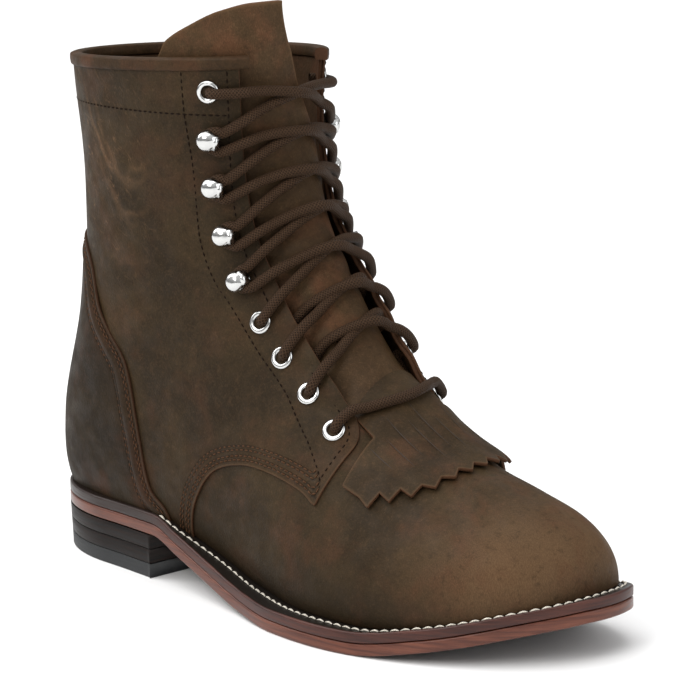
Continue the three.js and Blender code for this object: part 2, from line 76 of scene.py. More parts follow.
# Sole in plan: x, middle, half width
PLAN = np.array([
    [0, 0, 0.31], [0.075, 0, 0.316], [0.17, 0, 0.324], [0.27, -0.007, 0.338],
    [0.38, -0.02, 0.36], [0.49, -0.042, 0.398], [0.6, -0.054, 0.46], [0.7, -0.037, 0.487],
    [0.8, 0.005, 0.487], [0.88, 0.05, 0.487], [0.955, 0.107, 0.487], [1, 0.14, 0.487],
])
# Underside of the outsole, as shares of the length and of the heel's height
UNDERSIDE = np.array([
    [0, 1], [0.29, 1], [0.35, 0.72], [0.43, 0.37], [0.525, 0.07],
    [0.6, 0], [0.74, 0], [0.845, 0.25], [0.975, 0.76], [1, 0.84],
])
# Edges of the quarter and counter in side view: x, z
QUARTER_EDGE = [
    (0.36, 0.05), (0.366, 0.11), (0.385, 0.18), (0.425, 0.245),
    (0.485, 0.272), (0.55, 0.272), (0.612, 0.256), (0.645, 0.235),
]
FACING_END = [(0.668, 0.36), (0.69, 0.5)]
COUNTER_EDGE = [
    (0.33, 0), (0.319, 0.13), (0.283, 0.178), (0.265, 0.28), (0.243, 0.405), (0.207, 0.467),
    (0.18, 0.515), (0.157, 0.59), (0.115, 0.635), (0.055, 0.652), (-0.05, 0.66),
]
# Throat: section row, half width
THROAT = np.array([
    [5.8, 0.03], [5.86, 0.12], [5.95, 0.188], [6.3, 0.193], [7.1, 0.174], [8.2, 0.166],
    [9.4, 0.169], [11, 0.19], [13, 0.209], [14, 0.22], [15, 0.225],
])
# Tongue: section row, its side edges in degrees from the front; and share across, top row
TONGUE_ROWS = np.array([
    [5.2, 23, -20], [6, 33, -25], [7, 48, -36], [9, 63, -46], [10.5, 63, -40],
    [11.4, 64, -29], [12, 65, -18], [13, 69, -8], [14, 78, -1], [14.7, 84, 5],
])
TONGUE_TOP = np.array([[0, 14], [0.1, 14.22], [0.27, 14.41], [0.5, 14.59], [0.75, 14.67], [1, 14.68]])
# Pinked flap in plan: x, y
KILTIE_SIDE = [(0.635, 0.17), (0.678, 0.17), (0.678, 0.325)]
KILTIE_FRONT = np.array([
    [0.708, -0.322], [0.742, -0.257], [0.775, -0.155], [0.784, 0.03],
    [0.77, 0.19], [0.738, 0.287], [0.709, 0.34],
])
PINKS, PINK_SHARE = 11, 0.034
# Lacing from the collar down: section row, half width, whether a hook holds the cord
LACING = [
    (13.48, 0.286, False), (12.6, 0.271, True), (11.65, 0.254, True), (10.61, 0.234, True),
    (9.62, 0.224, True), (8.84, 0.226, False), (8.18, 0.228, False), (7.4, 0.236, False),
    (6.62, 0.256, False),
]
# Line of the eyestay: section row, angle from the front in degrees
EYESTAY = np.array([
    [13.86, 61.5], [13.22, 61.5], [12.43, 59.6], [10.96, 58.4], [9.58, 54.1], [8.5, 53.4],
    [7.71, 51.9], [6.9, 52.6], [6.43, 54.7], [6.25, 57.1], [6.2, 62.7],
])
CUFF_HEIGHT = 0.907 * SHAFT


def to_x(share):
    return LENGTH * (np.asarray(share, float) - HEEL_SHARE / 2)


def to_share(x):
    return np.asarray(x, float) / LENGTH + HEEL_SHARE / 2


def rows(table, s):
    """Rows of a table at places between its rows, on a smooth curve."""
    s = np.asarray(s, float)
    i = np.clip(np.floor(s).astype(int), 0, len(table) - 2)
    t = (s - i)[..., None]
    padded = np.vstack([2 * table[0] - table[1], table, 2 * table[-1] - table[-2]])
    a, b, c, d = padded[i], padded[i + 1], padded[i + 2], padded[i + 3]
    square = (2 * a - 5 * b + 4 * c - d) * t**2
    cube = (3 * b - a - 3 * c + d) * t**3
    return 0.5 * (2 * b + (c - a) * t + square + cube)


def look_up(table, value):
    """Columns of a table at a value of its first column, without overshoot."""
    x, y = table[:, 0], table[:, 1:]
    width = np.diff(x)[:, None]
    rate = np.diff(y, axis=0) / width
    slope = np.zeros_like(y)
    product = rate[:-1] * rate[1:]
    total = np.where(rate[:-1] + rate[1:] == 0, 1, rate[:-1] + rate[1:])
    slope[1:-1] = np.where(product > 0, 2 * product / total, 0)
    value = np.clip(np.asarray(value, float), x[0], x[-1])
    i = np.clip(np.searchsorted(x, value, side="right") - 1, 0, len(x) - 2)
    t = ((value - x[i]) / (x[i + 1] - x[i]))[..., None]
    rise = y[i + 1] - y[i]
    start, end = slope[i] * width[i], slope[i + 1] * width[i]
    return y[i] + start * t + (3 * rise - 2 * start - end) * t**2 + (start + end - 2 * rise) * t**3


def skin(s, angle):
    """Point of the form at a section row and an angle from the front, lateral side first."""
    s, angle = np.broadcast_arrays(np.asarray(s, float), np.asarray(angle, float))
    row = np.moveaxis(rows(SECTIONS, s), -1, 0)
    front_x, front_z, back_x, back_z, lateral, medial, widest, front_power, back_power, swing, ridge = row
    c, n = np.cos(angle), np.sin(angle)
    power = np.where(c >= 0, front_power, back_power)
    reach = np.abs(c) ** (2 / power)
    along = np.where(c >= 0, widest + (1 - widest) * reach, widest - widest * reach)
    half = np.where(n >= 0, -lateral, medial) * np.abs(n) ** (2 / power)
    x = to_x(back_x + (front_x - back_x) * along)
    z = SHAFT * (back_z + (front_z - back_z) * along)
    y = BALL * (swing + half + ridge * np.maximum(0, c) ** 2)
    return np.stack([x, y, z], -1)


def unit(v):
    return v / np.maximum(np.linalg.norm(v, axis=-1, keepdims=True), 1e-12)


def normal(s, angle):
    """Outward direction of the form."""
    s, angle = np.asarray(s, float), np.asarray(angle, float)
    along = skin(np.minimum(s + 0.03, TOP_ROW), angle) - skin(np.maximum(s - 0.03, 0), angle)
    around = skin(s, angle + 0.02) - skin(s, angle - 0.02)
    return unit(np.cross(along, around))


def surface(s, angle, out=0.0):
    """Point at a height over the form."""
    return skin(s, angle) + normal(s, angle) * np.asarray(out, float)[..., None]


def angle_of(s, share):
    """Angle at which a section's front half is a share of the ball from its middle."""
    s, share = np.broadcast_arrays(np.asarray(s, float), np.asarray(share, float))
    swing = rows(SECTIONS, s)[..., 9]
    low, high = np.full(s.shape, -np.pi / 2), np.full(s.shape, np.pi / 2)
    for _ in range(26):
        middle = (low + high) / 2
        beyond = skin(s, middle)[..., 1] / BALL > swing + share
        low, high = np.where(beyond, middle, low), np.where(beyond, high, middle)
    return (low + high) / 2


def on_front(s, share, out=0.0):
    """Point at a height over the form's front, by its share of the ball from the middle."""
    return surface(s, angle_of(s, share), out)


def spline(points, count):
    """Points along a smooth curve through some points."""
    points = np.asarray(points, float)
    return rows(points, np.linspace(0, len(points) - 1, count))


def spaced(points, gap_or_count, by_count=False):
    """Points of a polyline at equal distances along it, with that distance."""
    steps = np.linalg.norm(np.diff(points, axis=0), axis=1)
    run = np.concatenate([[0], np.cumsum(steps)])
    count = gap_or_count if by_count else max(2, int(round(run[-1] / gap_or_count)) + 1)
    places = np.linspace(0, run[-1], count)
    return np.stack([np.interp(places, run, points[:, k]) for k in range(points.shape[1])], 1)


def polygon_distance(points, outline):
    """Distance of points from an outline, positive inside it."""
    best = np.full(len(points), 1e9)
    inside = np.zeros(len(points), bool)
    for a, b in zip(outline, np.roll(outline, -1, axis=0)):
        edge = b - a
        t = np.clip(((points - a) @ edge) / max(edge @ edge, 1e-12), 0, 1)
        best = np.minimum(best, np.linalg.norm(points - a - t[:, None] * edge, axis=1))
        crosses = (a[1] > points[:, 1]) != (b[1] > points[:, 1])
        rise = b[1] - a[1] if b[1] != a[1] else 1e-12
        inside ^= crosses & (points[:, 0] < a[0] + (points[:, 1] - a[1]) * edge[0] / rise)
    return np.where(inside, best, -best)


def flat(pairs):
    """Shares of the length and shaft to millimetres in side view."""
    pairs = np.asarray(pairs, float)
    return np.stack([to_x(pairs[:, 0]), SHAFT * pairs[:, 1]], 1)


QUARTER_OUTLINE = flat(np.vstack([
    spline(QUARTER_EDGE, 60), FACING_END, [(1, 1.2), (1, 2), (-0.5, 2), (-0.5, -0.3), (0.36, -0.3)],
]))
COUNTER_OUTLINE = flat(np.vstack([
    spline(COUNTER_EDGE, 80), [(-0.3, 0.66), (-0.3, -0.1), (0.33, -0.1)],
]))


# Distances from the edges of the panels, in millimetres, positive on the panel
def from_quarter_edge(s, angle, point):
    return polygon_distance(point[:, [0, 2]], QUARTER_OUTLINE)


def from_counter_edge(s, angle, point):
    return polygon_distance(point[:, [0, 2]], COUNTER_OUTLINE)


def from_throat(s, angle, point):
    half = np.interp(s, THROAT[:, 0], THROAT[:, 1])
    swing = rows(SECTIONS, s)[:, 9]
    side = np.abs(point[:, 1] / BALL - swing) - half
    behind = np.cos(angle) < 0
    below = (THROAT[0, 0] - s) * 20
    return np.where(behind, 50, np.maximum(BALL * side, below) * 1.12)


def below_collar(s, angle, point):
    front_x, front_z, back_x, back_z = SECTIONS[COLLAR_ROW, :4]
    slope = (front_z - back_z) / (front_x - back_x)
    return SHAFT * (front_z + slope * (to_share(point[:, 0]) - front_x)) - point[:, 2]


def under_at(share):
    return HEEL_HEIGHT * look_up(UNDERSIDE, share)[..., 0]


def welt_top(share):
    return under_at(share) + OUTSOLE + GAP + WELT


def above_welt(s, angle, point):
    return point[:, 2] - welt_top(np.clip(to_share(point[:, 0]), 0, 1)) - GAP


def rounded_corner(first, second, radius):
    """Distance from the edges of two overlapping areas, with their corner rounded."""
    a, b = np.maximum(radius - first, 0), np.maximum(radius - second, 0)
    return np.where((a > 0) & (b > 0), radius - np.hypot(a, b), np.minimum(first, second))


def from_facing(s, angle, point):
    """Distance from the front edge of the quarter: throat, rounded tab and slanted end."""
    line = flat([QUARTER_EDGE[-1], FACING_END[0]])
    along = unit(line[1] - line[0])
    end = (point[:, 0] - line[0, 0]) * -along[1] + (point[:, 2] - line[0, 1]) * along[0]
    return rounded_corner(from_throat(s, angle, point), end, 9.0)


def clip(places, faces, values):
    """The part of a triangle mesh where the values are positive, cut along their zero line."""
    inside = values > 0
    count = inside[faces].sum(1)
    whole = faces[count == 3]
    part = faces[(count == 1) | (count == 2)]
    lone = inside[part].sum(1) == 1
    first = np.where(lone[:, None], inside[part], ~inside[part]).argmax(1)
    turn = (first[:, None] + np.arange(3)) % 3
    part = np.take_along_axis(part, turn, 1)
    pairs = np.stack([part[:, [0, 1]], part[:, [0, 2]]], 1).reshape(-1, 2)
    keys, index = np.unique(np.sort(pairs, 1), axis=0, return_inverse=True)
    index = index.reshape(-1, 2) + len(places)
    a, b = keys[:, 0], keys[:, 1]
    t = (values[a] / (values[a] - values[b]))[:, None]
    places = np.vstack([places, places[a] + (places[b] - places[a]) * t])
    one = np.column_stack([part[lone, 0], index[lone, 0], index[lone, 1]])
    two = part[~lone]
    ends = index[~lone]
    low = np.column_stack([ends[:, 0], two[:, 1], two[:, 2]])
    high = np.column_stack([ends[:, 0], two[:, 2], ends[:, 1]])
    faces = np.vstack([whole, one, low, high])
    used, inverse = np.unique(faces, return_inverse=True)
    return places[used], inverse.reshape(-1, 3)


def contour(places, faces, values, level):
    """Lines on a triangle mesh where the values reach a level, longest first."""
    above = values > level
    count = above[faces].sum(1)
    links = {}
    spots = {}
    for face in faces[(count == 1) | (count == 2)]:
        ends = []
        for a, b in ((face[0], face[1]), (face[1], face[2]), (face[2], face[0])):
            if above[a] != above[b]:
                key = (min(a, b), max(a, b))
                t = (level - values[key[0]]) / (values[key[1]] - values[key[0]])
                spots[key] = places[key[0]] + (places[key[1]] - places[key[0]]) * t
                ends.append(key)
        links.setdefault(ends[0], []).append(ends[1])
        links.setdefault(ends[1], []).append(ends[0])
    lines = []
    while links:
        start = next((k for k, v in links.items() if len(v) == 1), next(iter(links)))
        line, here = [start], start
        while links.get(here):
            after = links[here].pop()
            links[after].remove(here)
            line.append(after)
            here = after
        for key in line:
            if key in links and not links[key]:
                del links[key]
        lines.append(np.array([spots[key] for key in line]))
    return sorted(lines, key=len, reverse=True)


def wrapped(rings, sides, closed=False):
    """Quads between rings of points, each ring closed on itself."""
    i, j = np.meshgrid(np.arange(rings if closed else rings - 1), np.arange(sides), indexing="ij")
    here, below, after = i * sides, (i + 1) % rings * sides, (j + 1) % sides
    return np.stack([here + j, here + after, below + after, below + j], -1).reshape(-1, 4)


def grid(rows_from, rows_to, count, first, last, across):
    """Places and triangles of a net over section rows and a second value."""
    down, over = np.linspace(rows_from, rows_to, count), np.linspace(first, last, across)
    s, a = np.meshgrid(down, over, indexing="ij")
    places = np.stack([s.ravel(), a.ravel()], 1)
    i, j = np.meshgrid(np.arange(count - 1), np.arange(across - 1), indexing="ij")
    corner = (i * across + j).ravel()
    low = np.column_stack([corner, corner + across, corner + across + 1])
    high = np.column_stack([corner, corner + across + 1, corner + 1])
    return places, np.vstack([low, high])


def make(name, points, faces, material, replaces=(), values=(), smooth=True, uv=None):
    """Object in metres from points in millimetres, riding on the boot."""
    mesh = bpy.data.meshes.new(name)
    mesh.from_pydata((points * METRE).tolist(), [], [list(map(int, f)) for f in faces])
    mesh.polygons.foreach_set("use_smooth", [smooth] * len(mesh.polygons))
    for key, value in dict(values).items():
        mesh.attributes.new(key, "FLOAT", "POINT").data.foreach_set("value", np.asarray(value, np.float32))
    if uv is not None:
        layer = mesh.uv_layers.new(name="along")
        layer.data.foreach_set("uv", np.asarray(uv, np.float32).ravel())
    made = bpy.data.objects.new(name, mesh)
    bpy.context.scene.collection.objects.link(made)
    mesh.materials.append(material)
    mesh.update()
    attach(made, "root")
    if replaces:
        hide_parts(*replaces)
    return made


def sheet(name, places, faces, high, low, material, point=surface, replaces=(), values=()):
    """Sheet of leather over the form, from its outer face to its inner one, with cut edges."""
    s, a = places.T
    top, bottom = point(s, a, high), point(s, a, low)
    directed = np.vstack([faces[:, [0, 1]], faces[:, [1, 2]], faces[:, [2, 0]]])
    count = len(places)
    forward = directed[:, 0] * count + directed[:, 1]
    backward = directed[:, 1] * count + directed[:, 0]
    rim = directed[~np.isin(forward, backward)]
    tangent = np.zeros((count, 3))
    for k in (0, 1):
        np.add.at(tangent, rim[:, k], unit(top[rim[:, 1]] - top[rim[:, 0]]))
    up = unit(top - bottom)
    outward = unit(np.cross(unit(tangent), up))
    bulge = 0.22 * np.minimum(1, np.linalg.norm(top - bottom, axis=1))[:, None]
    edge, inverse = np.unique(rim, return_inverse=True)
    inverse = inverse.reshape(-1, 2)
    rings = []
    for down, out in ((0, 0), (0.12, 0.8), (0.5, 1), (0.88, 0.8), (1, 0)):
        rings.append((top + (bottom - top) * down + outward * bulge * out)[edge])
    points = np.vstack([top, bottom, *rings])
    skirt = []
    for k in range(len(rings) - 1):
        upper = 2 * count + k * len(edge) + inverse
        lower = upper + len(edge)
        skirt.append(np.column_stack([upper[:, 1], upper[:, 0], lower[:, 0]]))
        skirt.append(np.column_stack([upper[:, 1], lower[:, 0], lower[:, 1]]))
    every = np.vstack([faces, faces[:, ::-1] + count, *skirt])
    extra = {}
    for key, value in dict(values).items():
        value = np.broadcast_to(np.asarray(value, float), (count,))
        extra[key] = np.concatenate([value, value, np.tile(value[edge], len(rings))])
    extra["raw"] = np.concatenate([np.zeros(2 * count), np.ones(len(rings) * len(edge))])
    return make(name, points, every, material, replaces, extra)


def crease(point, line, width, depth):
    """Soft trough with raised sides along a line of places, as a change of height."""
    line = skin(line[:, 0], np.radians(line[:, 1]))
    best = np.full(len(point), 1e9)
    for a, b in zip(line[:-1], line[1:]):
        edge = b - a
        t = np.clip(((point - a) @ edge) / (edge @ edge), 0, 1)
        best = np.minimum(best, np.linalg.norm(point - a - t[:, None] * edge, axis=1))
    trough = np.exp(-((best / width) ** 2))
    sides = np.exp(-(((best - 1.7 * width) / width) ** 2))
    return depth * (0.45 * sides - trough)


def lumps(point, size, seed):
    """Slow uneven swell of the leather, between about -1 and 1."""
    total = np.zeros(len(point))
    random = np.random.default_rng(seed)
    for _ in range(6):
        wave = unit(random.normal(size=3)) * random.uniform(0.6, 1.5) * 2 * np.pi / size
        total += np.sin(point @ wave + random.uniform(0, 6.3))
    return total / 3.5


# Materials
def node(tree, kind, inputs=(), **settings):
    made = tree.nodes.new(kind)
    for key, value in settings.items():
        setattr(made, key, value)
    for key, value in dict(inputs).items():
        if isinstance(value, bpy.types.NodeSocket):
            tree.links.new(value, made.inputs[key])
        else:
            made.inputs[key].default_value = value
    return made


def shaded(colour, by):
    return tuple(by * v for v in colour)


class Look:
    """Material with a principled shader, and the nodes that feed it. Its sizes are in millimetres."""

    def __init__(self, name, **sockets):
        self.material = bpy.data.materials.new(name)
        self.material.use_nodes = True
        self.tree = self.material.node_tree
        self.shader = self.tree.nodes["Principled BSDF"]
        for key, value in sockets.items():
            self.shader.inputs[key.replace("_", " ")].default_value = value
        inputs = {0: node(self.tree, "ShaderNodeTexCoord").outputs["Object"], 3: 1 / METRE}
        self.place = node(self.tree, "ShaderNodeVectorMath", inputs, operation="SCALE").outputs[0]

    def stretched(self, *scale):
        return node(self.tree, "ShaderNodeMapping", {"Vector": self.place, "Scale": scale}).outputs[0]

    def along(self, turn, size):
        """Object coordinates turned first and then drawn out."""
        inputs = {"Vector": self.place, "Scale": size, "Rotation": turn}
        return node(self.tree, "ShaderNodeMapping", inputs, vector_type="TEXTURE").outputs[0]

    def noise(self, size, detail=4.0, roughness=0.55, at=None, distortion=0.0):
        inputs = {"Vector": at or self.place, "Scale": 1 / size, "Detail": detail}
        inputs.update({"Roughness": roughness, "Distortion": distortion})
        return node(self.tree, "ShaderNodeTexNoise", inputs).outputs[0]

    def cells(self, size):
        inputs = {"Vector": self.place, "Scale": 1 / size}
        return node(self.tree, "ShaderNodeTexVoronoi", inputs).outputs["Distance"]

    def value(self, name):
        return node(self.tree, "ShaderNodeAttribute", attribute_name=name).outputs["Fac"]

    def math(self, operation, first, second=0.0):
        return node(self.tree, "ShaderNodeMath", {0: first, 1: second}, operation=operation).outputs[0]

    def times(self, first, second):
        return self.math("MULTIPLY", first, second)

    def ramp(self, value, low, high, to_low=0.0, to_high=1.0):
        inputs = {"Value": value, "From Min": low, "From Max": high, "To Min": to_low, "To Max": to_high}
        return node(self.tree, "ShaderNodeMapRange", inputs, interpolation_type="SMOOTHSTEP").outputs[0]

    def mix(self, factor, first, second):
        first = (*first, 1) if isinstance(first, tuple) else first
        second = (*second, 1) if isinstance(second, tuple) else second
        inputs = {0: factor, 6: first, 7: second}
        return node(self.tree, "ShaderNodeMix", inputs, data_type="RGBA").outputs[2]

    def bump(self, height, distance, strength=1.0, after=None):
        inputs = {"Height": height, "Distance": distance * METRE, "Strength": strength}
        if after:
            inputs["Normal"] = after
        return node(self.tree, "ShaderNodeBump", inputs).outputs[0]

    def near_rows(self, name, places, width):
        """1 along rows at distances from an edge, 0 away from them."""
        distance = self.value(name)
        total = None
        for place in places:
            away = self.math("ABSOLUTE", self.math("SUBTRACT", distance, place))
            line = self.ramp(away, 0.0, width, 1.0, 0.0)
            total = line if total is None else self.math("MAXIMUM", total, line)
        return total

    def set(self, **sockets):
        for key, value in sockets.items():
            self.tree.links.new(value, self.shader.inputs[key.replace("_", " ")])
        return self.material


# Colours of the leather, and of its cut edges
DARK, MIDDLE = (0.026, 0.0165, 0.0074), (0.045, 0.0285, 0.0125)
WARM, TAN = (0.09, 0.038, 0.018), (0.14, 0.078, 0.038)
RAW = (0.1, 0.046, 0.023)
NO_EDGE = 30.0  # distance from a worn edge where there is none
# How strongly each layer shows in the leather; SHADOW and GROOVE are painted shade
SPOTS, DARK_SPOTS, SPECKS, NAP, RUBS = 0.2, 0.4, 0.26, 0.3, 0.75
SHADOW, GROOVE, WORN_EDGE, MOST_WARM = 0.6, 0.72, 0.28, 0.85
GROOVE_WIDTH, GROOVE_DEPTH = 0.7, 1.4


def leather(name, grooves=(), warmth=0.5, scratches=0.5, tone=1.0):
    """Oiled leather: dark and warm clouds, nap, pale rubs, stitched grooves with painted shade in them,
    painted shade beside the welt, and raw cut edges.
    """
    look = Look(name, Specular_IOR_Level=0.1)
    dark, middle, warm, tan, raw = (shaded(c, tone) for c in (DARK, MIDDLE, WARM, TAN, RAW))
    clouds = look.ramp(look.noise(34, 5, 0.6), 0.36, 0.66)
    colour = look.mix(clouds, dark, middle)
    colour = look.mix(look.value("pale"), colour, shaded(tan, 0.95))
    patches = look.ramp(look.noise(22, 4, 0.62, distortion=0.4), 0.46, 0.72)
    warming = look.times(look.math("ADD", patches, look.value("warm")), warmth)
    colour = look.mix(look.math("MINIMUM", warming, MOST_WARM), colour, warm)
    fine = look.noise(1.1, 5, 0.75)
    nap = look.noise(0.35, 3, 0.7, at=look.stretched(1, 1, 0.35))
    mottle = look.noise(3.4, 6, 0.7)
    colour = look.mix(look.times(look.ramp(mottle, 0.52, 0.72), SPOTS), colour, tan)
    darker = look.times(look.ramp(mottle, 0.3, 0.48, 1.0, 0.0), DARK_SPOTS)
    colour = look.mix(darker, colour, shaded(dark, 0.5))
    speck = look.times(look.ramp(fine, 0.5, 0.72), SPECKS)
    colour = look.mix(speck, colour, tan)
    shade = look.times(look.ramp(nap, 0.42, 0.62, 1.0, 0.0), NAP)
    colour = look.mix(shade, colour, shaded(dark, 0.45))
    slanted = look.along((0, math.radians(48), 0), (3.2, 1, 1))
    flow = look.noise(5.5, 3, 0.5, at=slanted, distortion=0.6)
    marks = look.ramp(look.math("ABSOLUTE", look.math("SUBTRACT", flow, 0.5)), 0.0, 0.016, 1.0, 0.0)
    broken = look.ramp(look.noise(4, 2, 0.6), 0.42, 0.6)
    rubbed = look.times(look.value("rub"), RUBS * scratches)
    rubs = look.times(look.times(marks, broken), rubbed)
    colour = look.mix(rubs, colour, tan)
    # Painted shade: darker where the low value is high, beside the welt
    colour = look.mix(look.times(look.value("low"), SHADOW), colour, shaded(dark, 0.4))
    height = look.times(fine, 0.6)
    # Stitched grooves: pressed into the bump and darkened with painted shade
    for key, places in grooves:
        line = look.near_rows(key, places, GROOVE_WIDTH)
        colour = look.mix(look.times(line, GROOVE), colour, shaded(dark, 0.4))
        height = look.math("SUBTRACT", height, look.times(line, GROOVE_DEPTH))
    worn = look.ramp(look.value("edge"), 0.0, 0.9, 1.0, 0.0)
    colour = look.mix(look.times(worn, WORN_EDGE), colour, tan)
    streaks = look.noise(0.9, 3, 0.6)
    raw_colour = look.mix(streaks, shaded(raw, 0.5), raw)
    colour = look.mix(look.value("raw"), colour, raw_colour)
    rough = look.ramp(look.noise(9, 3), 0.3, 0.7, 0.5, 0.68)
    height = look.math("ADD", height, look.times(look.cells(0.9), 0.5))
    bump = look.bump(height, 0.16, 0.8)
    return look.set(Base_Color=colour, Roughness=rough, Normal=bump)


# Rows of stitches, in millimetres from the edge of their panel
ROWS_LOW = (2.0, 3.6, 6.0, 7.6)
ROWS_COUNTER = (2.0, 3.4, 8.2, 9.6)
FACING_ROW = 3.6
leather_vamp = leather("vamp_leather", warmth=0.55, scratches=0.3)
leather_quarter = leather(
    "quarter_leather", (("band", ROWS_LOW),), warmth=0.35, scratches=0.9, tone=0.86,
)
leather_counter = leather("counter_leather", (("edge", ROWS_COUNTER),), warmth=0.8, tone=0.52)
leather_tongue = leather("tongue_leather", warmth=0.62, scratches=0.3, tone=1.3)
leather_kiltie = leather("kiltie_leather", warmth=0.45, scratches=0.2, tone=0.95)
leather_binding = leather("binding_leather", warmth=0.7, scratches=0.1, tone=0.84)
leather_lining = leather("lining_leather", warmth=1.0, scratches=0.0, tone=0.9)


def thread(name, colour, roughness=0.6, shine=0.3):
    """Twisted thread."""
    look = Look(name, Specular_IOR_Level=shine)
    inputs = {"Vector": look.place, "Scale": 2.2, "Detail": 2.0}
    twist = node(look.tree, "ShaderNodeTexNoise", inputs).outputs[0]
    tone = look.mix(look.ramp(twist, 0.35, 0.7), shaded(colour, 0.55), colour)
    look.shader.inputs["Roughness"].default_value = roughness
    return look.set(Base_Color=tone, Normal=look.bump(twist, 0.12))


thread_brown = thread("brown_thread", (0.1, 0.047, 0.023), 0.7, 0.08)
thread_dark = thread("dark_thread", (0.014, 0.008, 0.005), 0.7, 0.05)
thread_cream = thread("cream_thread", (0.78, 0.72, 0.62))


def plating(name):
    """Polished nickel with faint smudges."""
    look = Look(name, Metallic=1.0)
    smudge = look.ramp(look.noise(2.5, 4), 0.3, 0.75, 0.12, 0.22)
    tone = look.mix(look.noise(3, 2), (0.5, 0.5, 0.49), (0.68, 0.68, 0.67))
    return look.set(Base_Color=tone, Roughness=smudge, Normal=look.bump(look.noise(1.5, 2), 0.02, 0.5))


nickel = plating("nickel")


HEEL_FADE = (30.0, 75.0)  # x between which the welt changes from its heel's colour


def sole_edge(name, low, high, top, roughness, coat, shine=0.25, heel=None):
    """Stained and burnished leather edge: streaks along it, another colour on its faces and at the heel."""
    look = Look(name, Specular_IOR_Level=shine, Coat_Weight=coat, Coat_Roughness=0.2)
    run = look.value("along")
    level = node(look.tree, "ShaderNodeSeparateXYZ", {0: look.place}).outputs[2]
    inputs = {0: look.times(run, 0.03), 1: look.times(level, 0.55)}
    at = node(look.tree, "ShaderNodeCombineXYZ", inputs).outputs[0]
    streak = look.noise(0.7, 5, 0.65, at=at)
    wide = look.noise(1.6, 3, 0.5, at=at)
    colour = look.mix(look.ramp(streak, 0.35, 0.68), low, high)
    colour = look.mix(look.times(look.ramp(wide, 0.5, 0.7), 0.4), colour, shaded(low, 0.45))
    uneven = look.times(look.noise(3, 3), 0.25)
    face = look.ramp(look.math("ADD", look.value("face"), uneven), 0.45, 0.7)
    top_colour = look.mix(look.noise(1.2, 4), shaded(top, 0.6), top)
    colour = look.mix(face, colour, top_colour)
    if heel:
        forward = node(look.tree, "ShaderNodeSeparateXYZ", {0: look.place}).outputs[0]
        colour = look.mix(look.ramp(forward, *HEEL_FADE, 0.85, 0.0), colour, heel)
    rough = look.ramp(streak, 0.3, 0.7, roughness - 0.08, roughness + 0.1)
    return look.set(Base_Color=colour, Roughness=rough, Normal=look.bump(streak, 0.12, 0.6))


outsole_look = sole_edge(
    "outsole_edge", low=(0.07, 0.02, 0.0115), high=(0.15, 0.048, 0.027), top=(0.06, 0.03, 0.02),
    roughness=0.36, coat=0.16,
)
welt_look = sole_edge(
    "welt_edge", low=(0.036, 0.012, 0.009), high=(0.075, 0.024, 0.016), top=(0.011, 0.008, 0.006),
    roughness=0.42, coat=0.08, heel=(0.014, 0.009, 0.007),
)
lift_look = sole_edge(
    "heel_lift", low=(0.0055, 0.0045, 0.004), high=(0.017, 0.0105, 0.0085), top=(0.008, 0.006, 0.005),
    roughness=0.5, coat=0.03, shine=0.12,
)


def rubber(name):
    """Dull black rubber."""
    look = Look(name, Roughness=0.6)
    tone = look.mix(look.noise(2.0, 5), (0.006, 0.007, 0.008), (0.016, 0.017, 0.018))
    return look.set(Base_Color=tone, Normal=look.bump(look.noise(0.5, 4), 0.1))


cap_rubber = rubber("heel_rubber")


# Panels of the upper
def panel(rows_from, rows_to, count, first, last, across, edges):
    """Net over the form between angles in degrees, cut along its edges."""
    places, faces = grid(rows_from, rows_to, count, math.radians(first), math.radians(last), across)
    for edge in edges:
        s, a = places.T
        places, faces = clip(places, faces, edge(s, a, skin(s, a)))
    return places, faces


TOE_RUB, TOE_RUB_SIZE = np.array([238, 36]), np.array([32, 26])  # x and z in millimetres


def toe_rub(point, seed):
    """Paler leather where the toe is worn, in uneven clouds."""
    toe = np.exp(-(((point[:, [0, 2]] - TOE_RUB) / TOE_RUB_SIZE) ** 2).sum(1))
    return np.clip(0.78 * toe + 0.1 * lumps(point, 26, seed) * toe, 0, 1)


VAMP_CREASES = [
    # places on the form, width, depth
    (np.array([[5.35, 75], [5.2, 60], [5.3, 48]]), 3.2, 0.35),
    (np.array([[4.9, 80], [4.7, 62], [4.7, 45]]), 3.6, 0.3),
    (np.array([[5.3, -75], [5.1, -58], [5.2, -46]]), 3.2, 0.35),
    (np.array([[4.9, -80], [4.6, -60], [4.5, -40]]), 3.6, 0.3),
]
SHAFT_CREASES = [
    (np.array([[10.9, 84], [10.4, 68], [10.2, 60]]), 5.0, 0.7),
    (np.array([[10.2, 86], [9.6, 74], [9.3, 66]]), 5.0, 0.6),
    (np.array([[11.7, 120], [11.3, 96], [11.2, 76]]), 7.0, 0.6),
    (np.array([[13.1, 118], [12.3, 98], [11.6, 84]]), 3.0, 0.25),
    (np.array([[12.9, 108], [12.2, 92], [11.8, 80]]), 2.4, 0.2),
    (np.array([[8.9, 92], [8.5, 80], [8.3, 70]]), 5.0, 0.5),
]
RUBBED_LINES = [
    # places on the lateral side, how pale
    (np.array([[13.9, 122], [13.4, 112], [12.9, 98], [12.5, 84]]), 0.6),
    (np.array([[13.7, 112], [13.25, 104], [12.75, 92], [12.6, 78]]), 0.5),
    (np.array([[13.4, 116], [12.85, 104], [12.3, 91], [12.15, 78]]), 0.4),
    (np.array([[13.0, 106], [12.5, 98], [12.0, 86]]), 0.35),
    (np.array([[12.75, 96], [12.85, 88], [12.45, 76]]), 0.35),
    (np.array([[12.2, 110], [11.9, 98], [11.5, 84]]), 0.25),
]


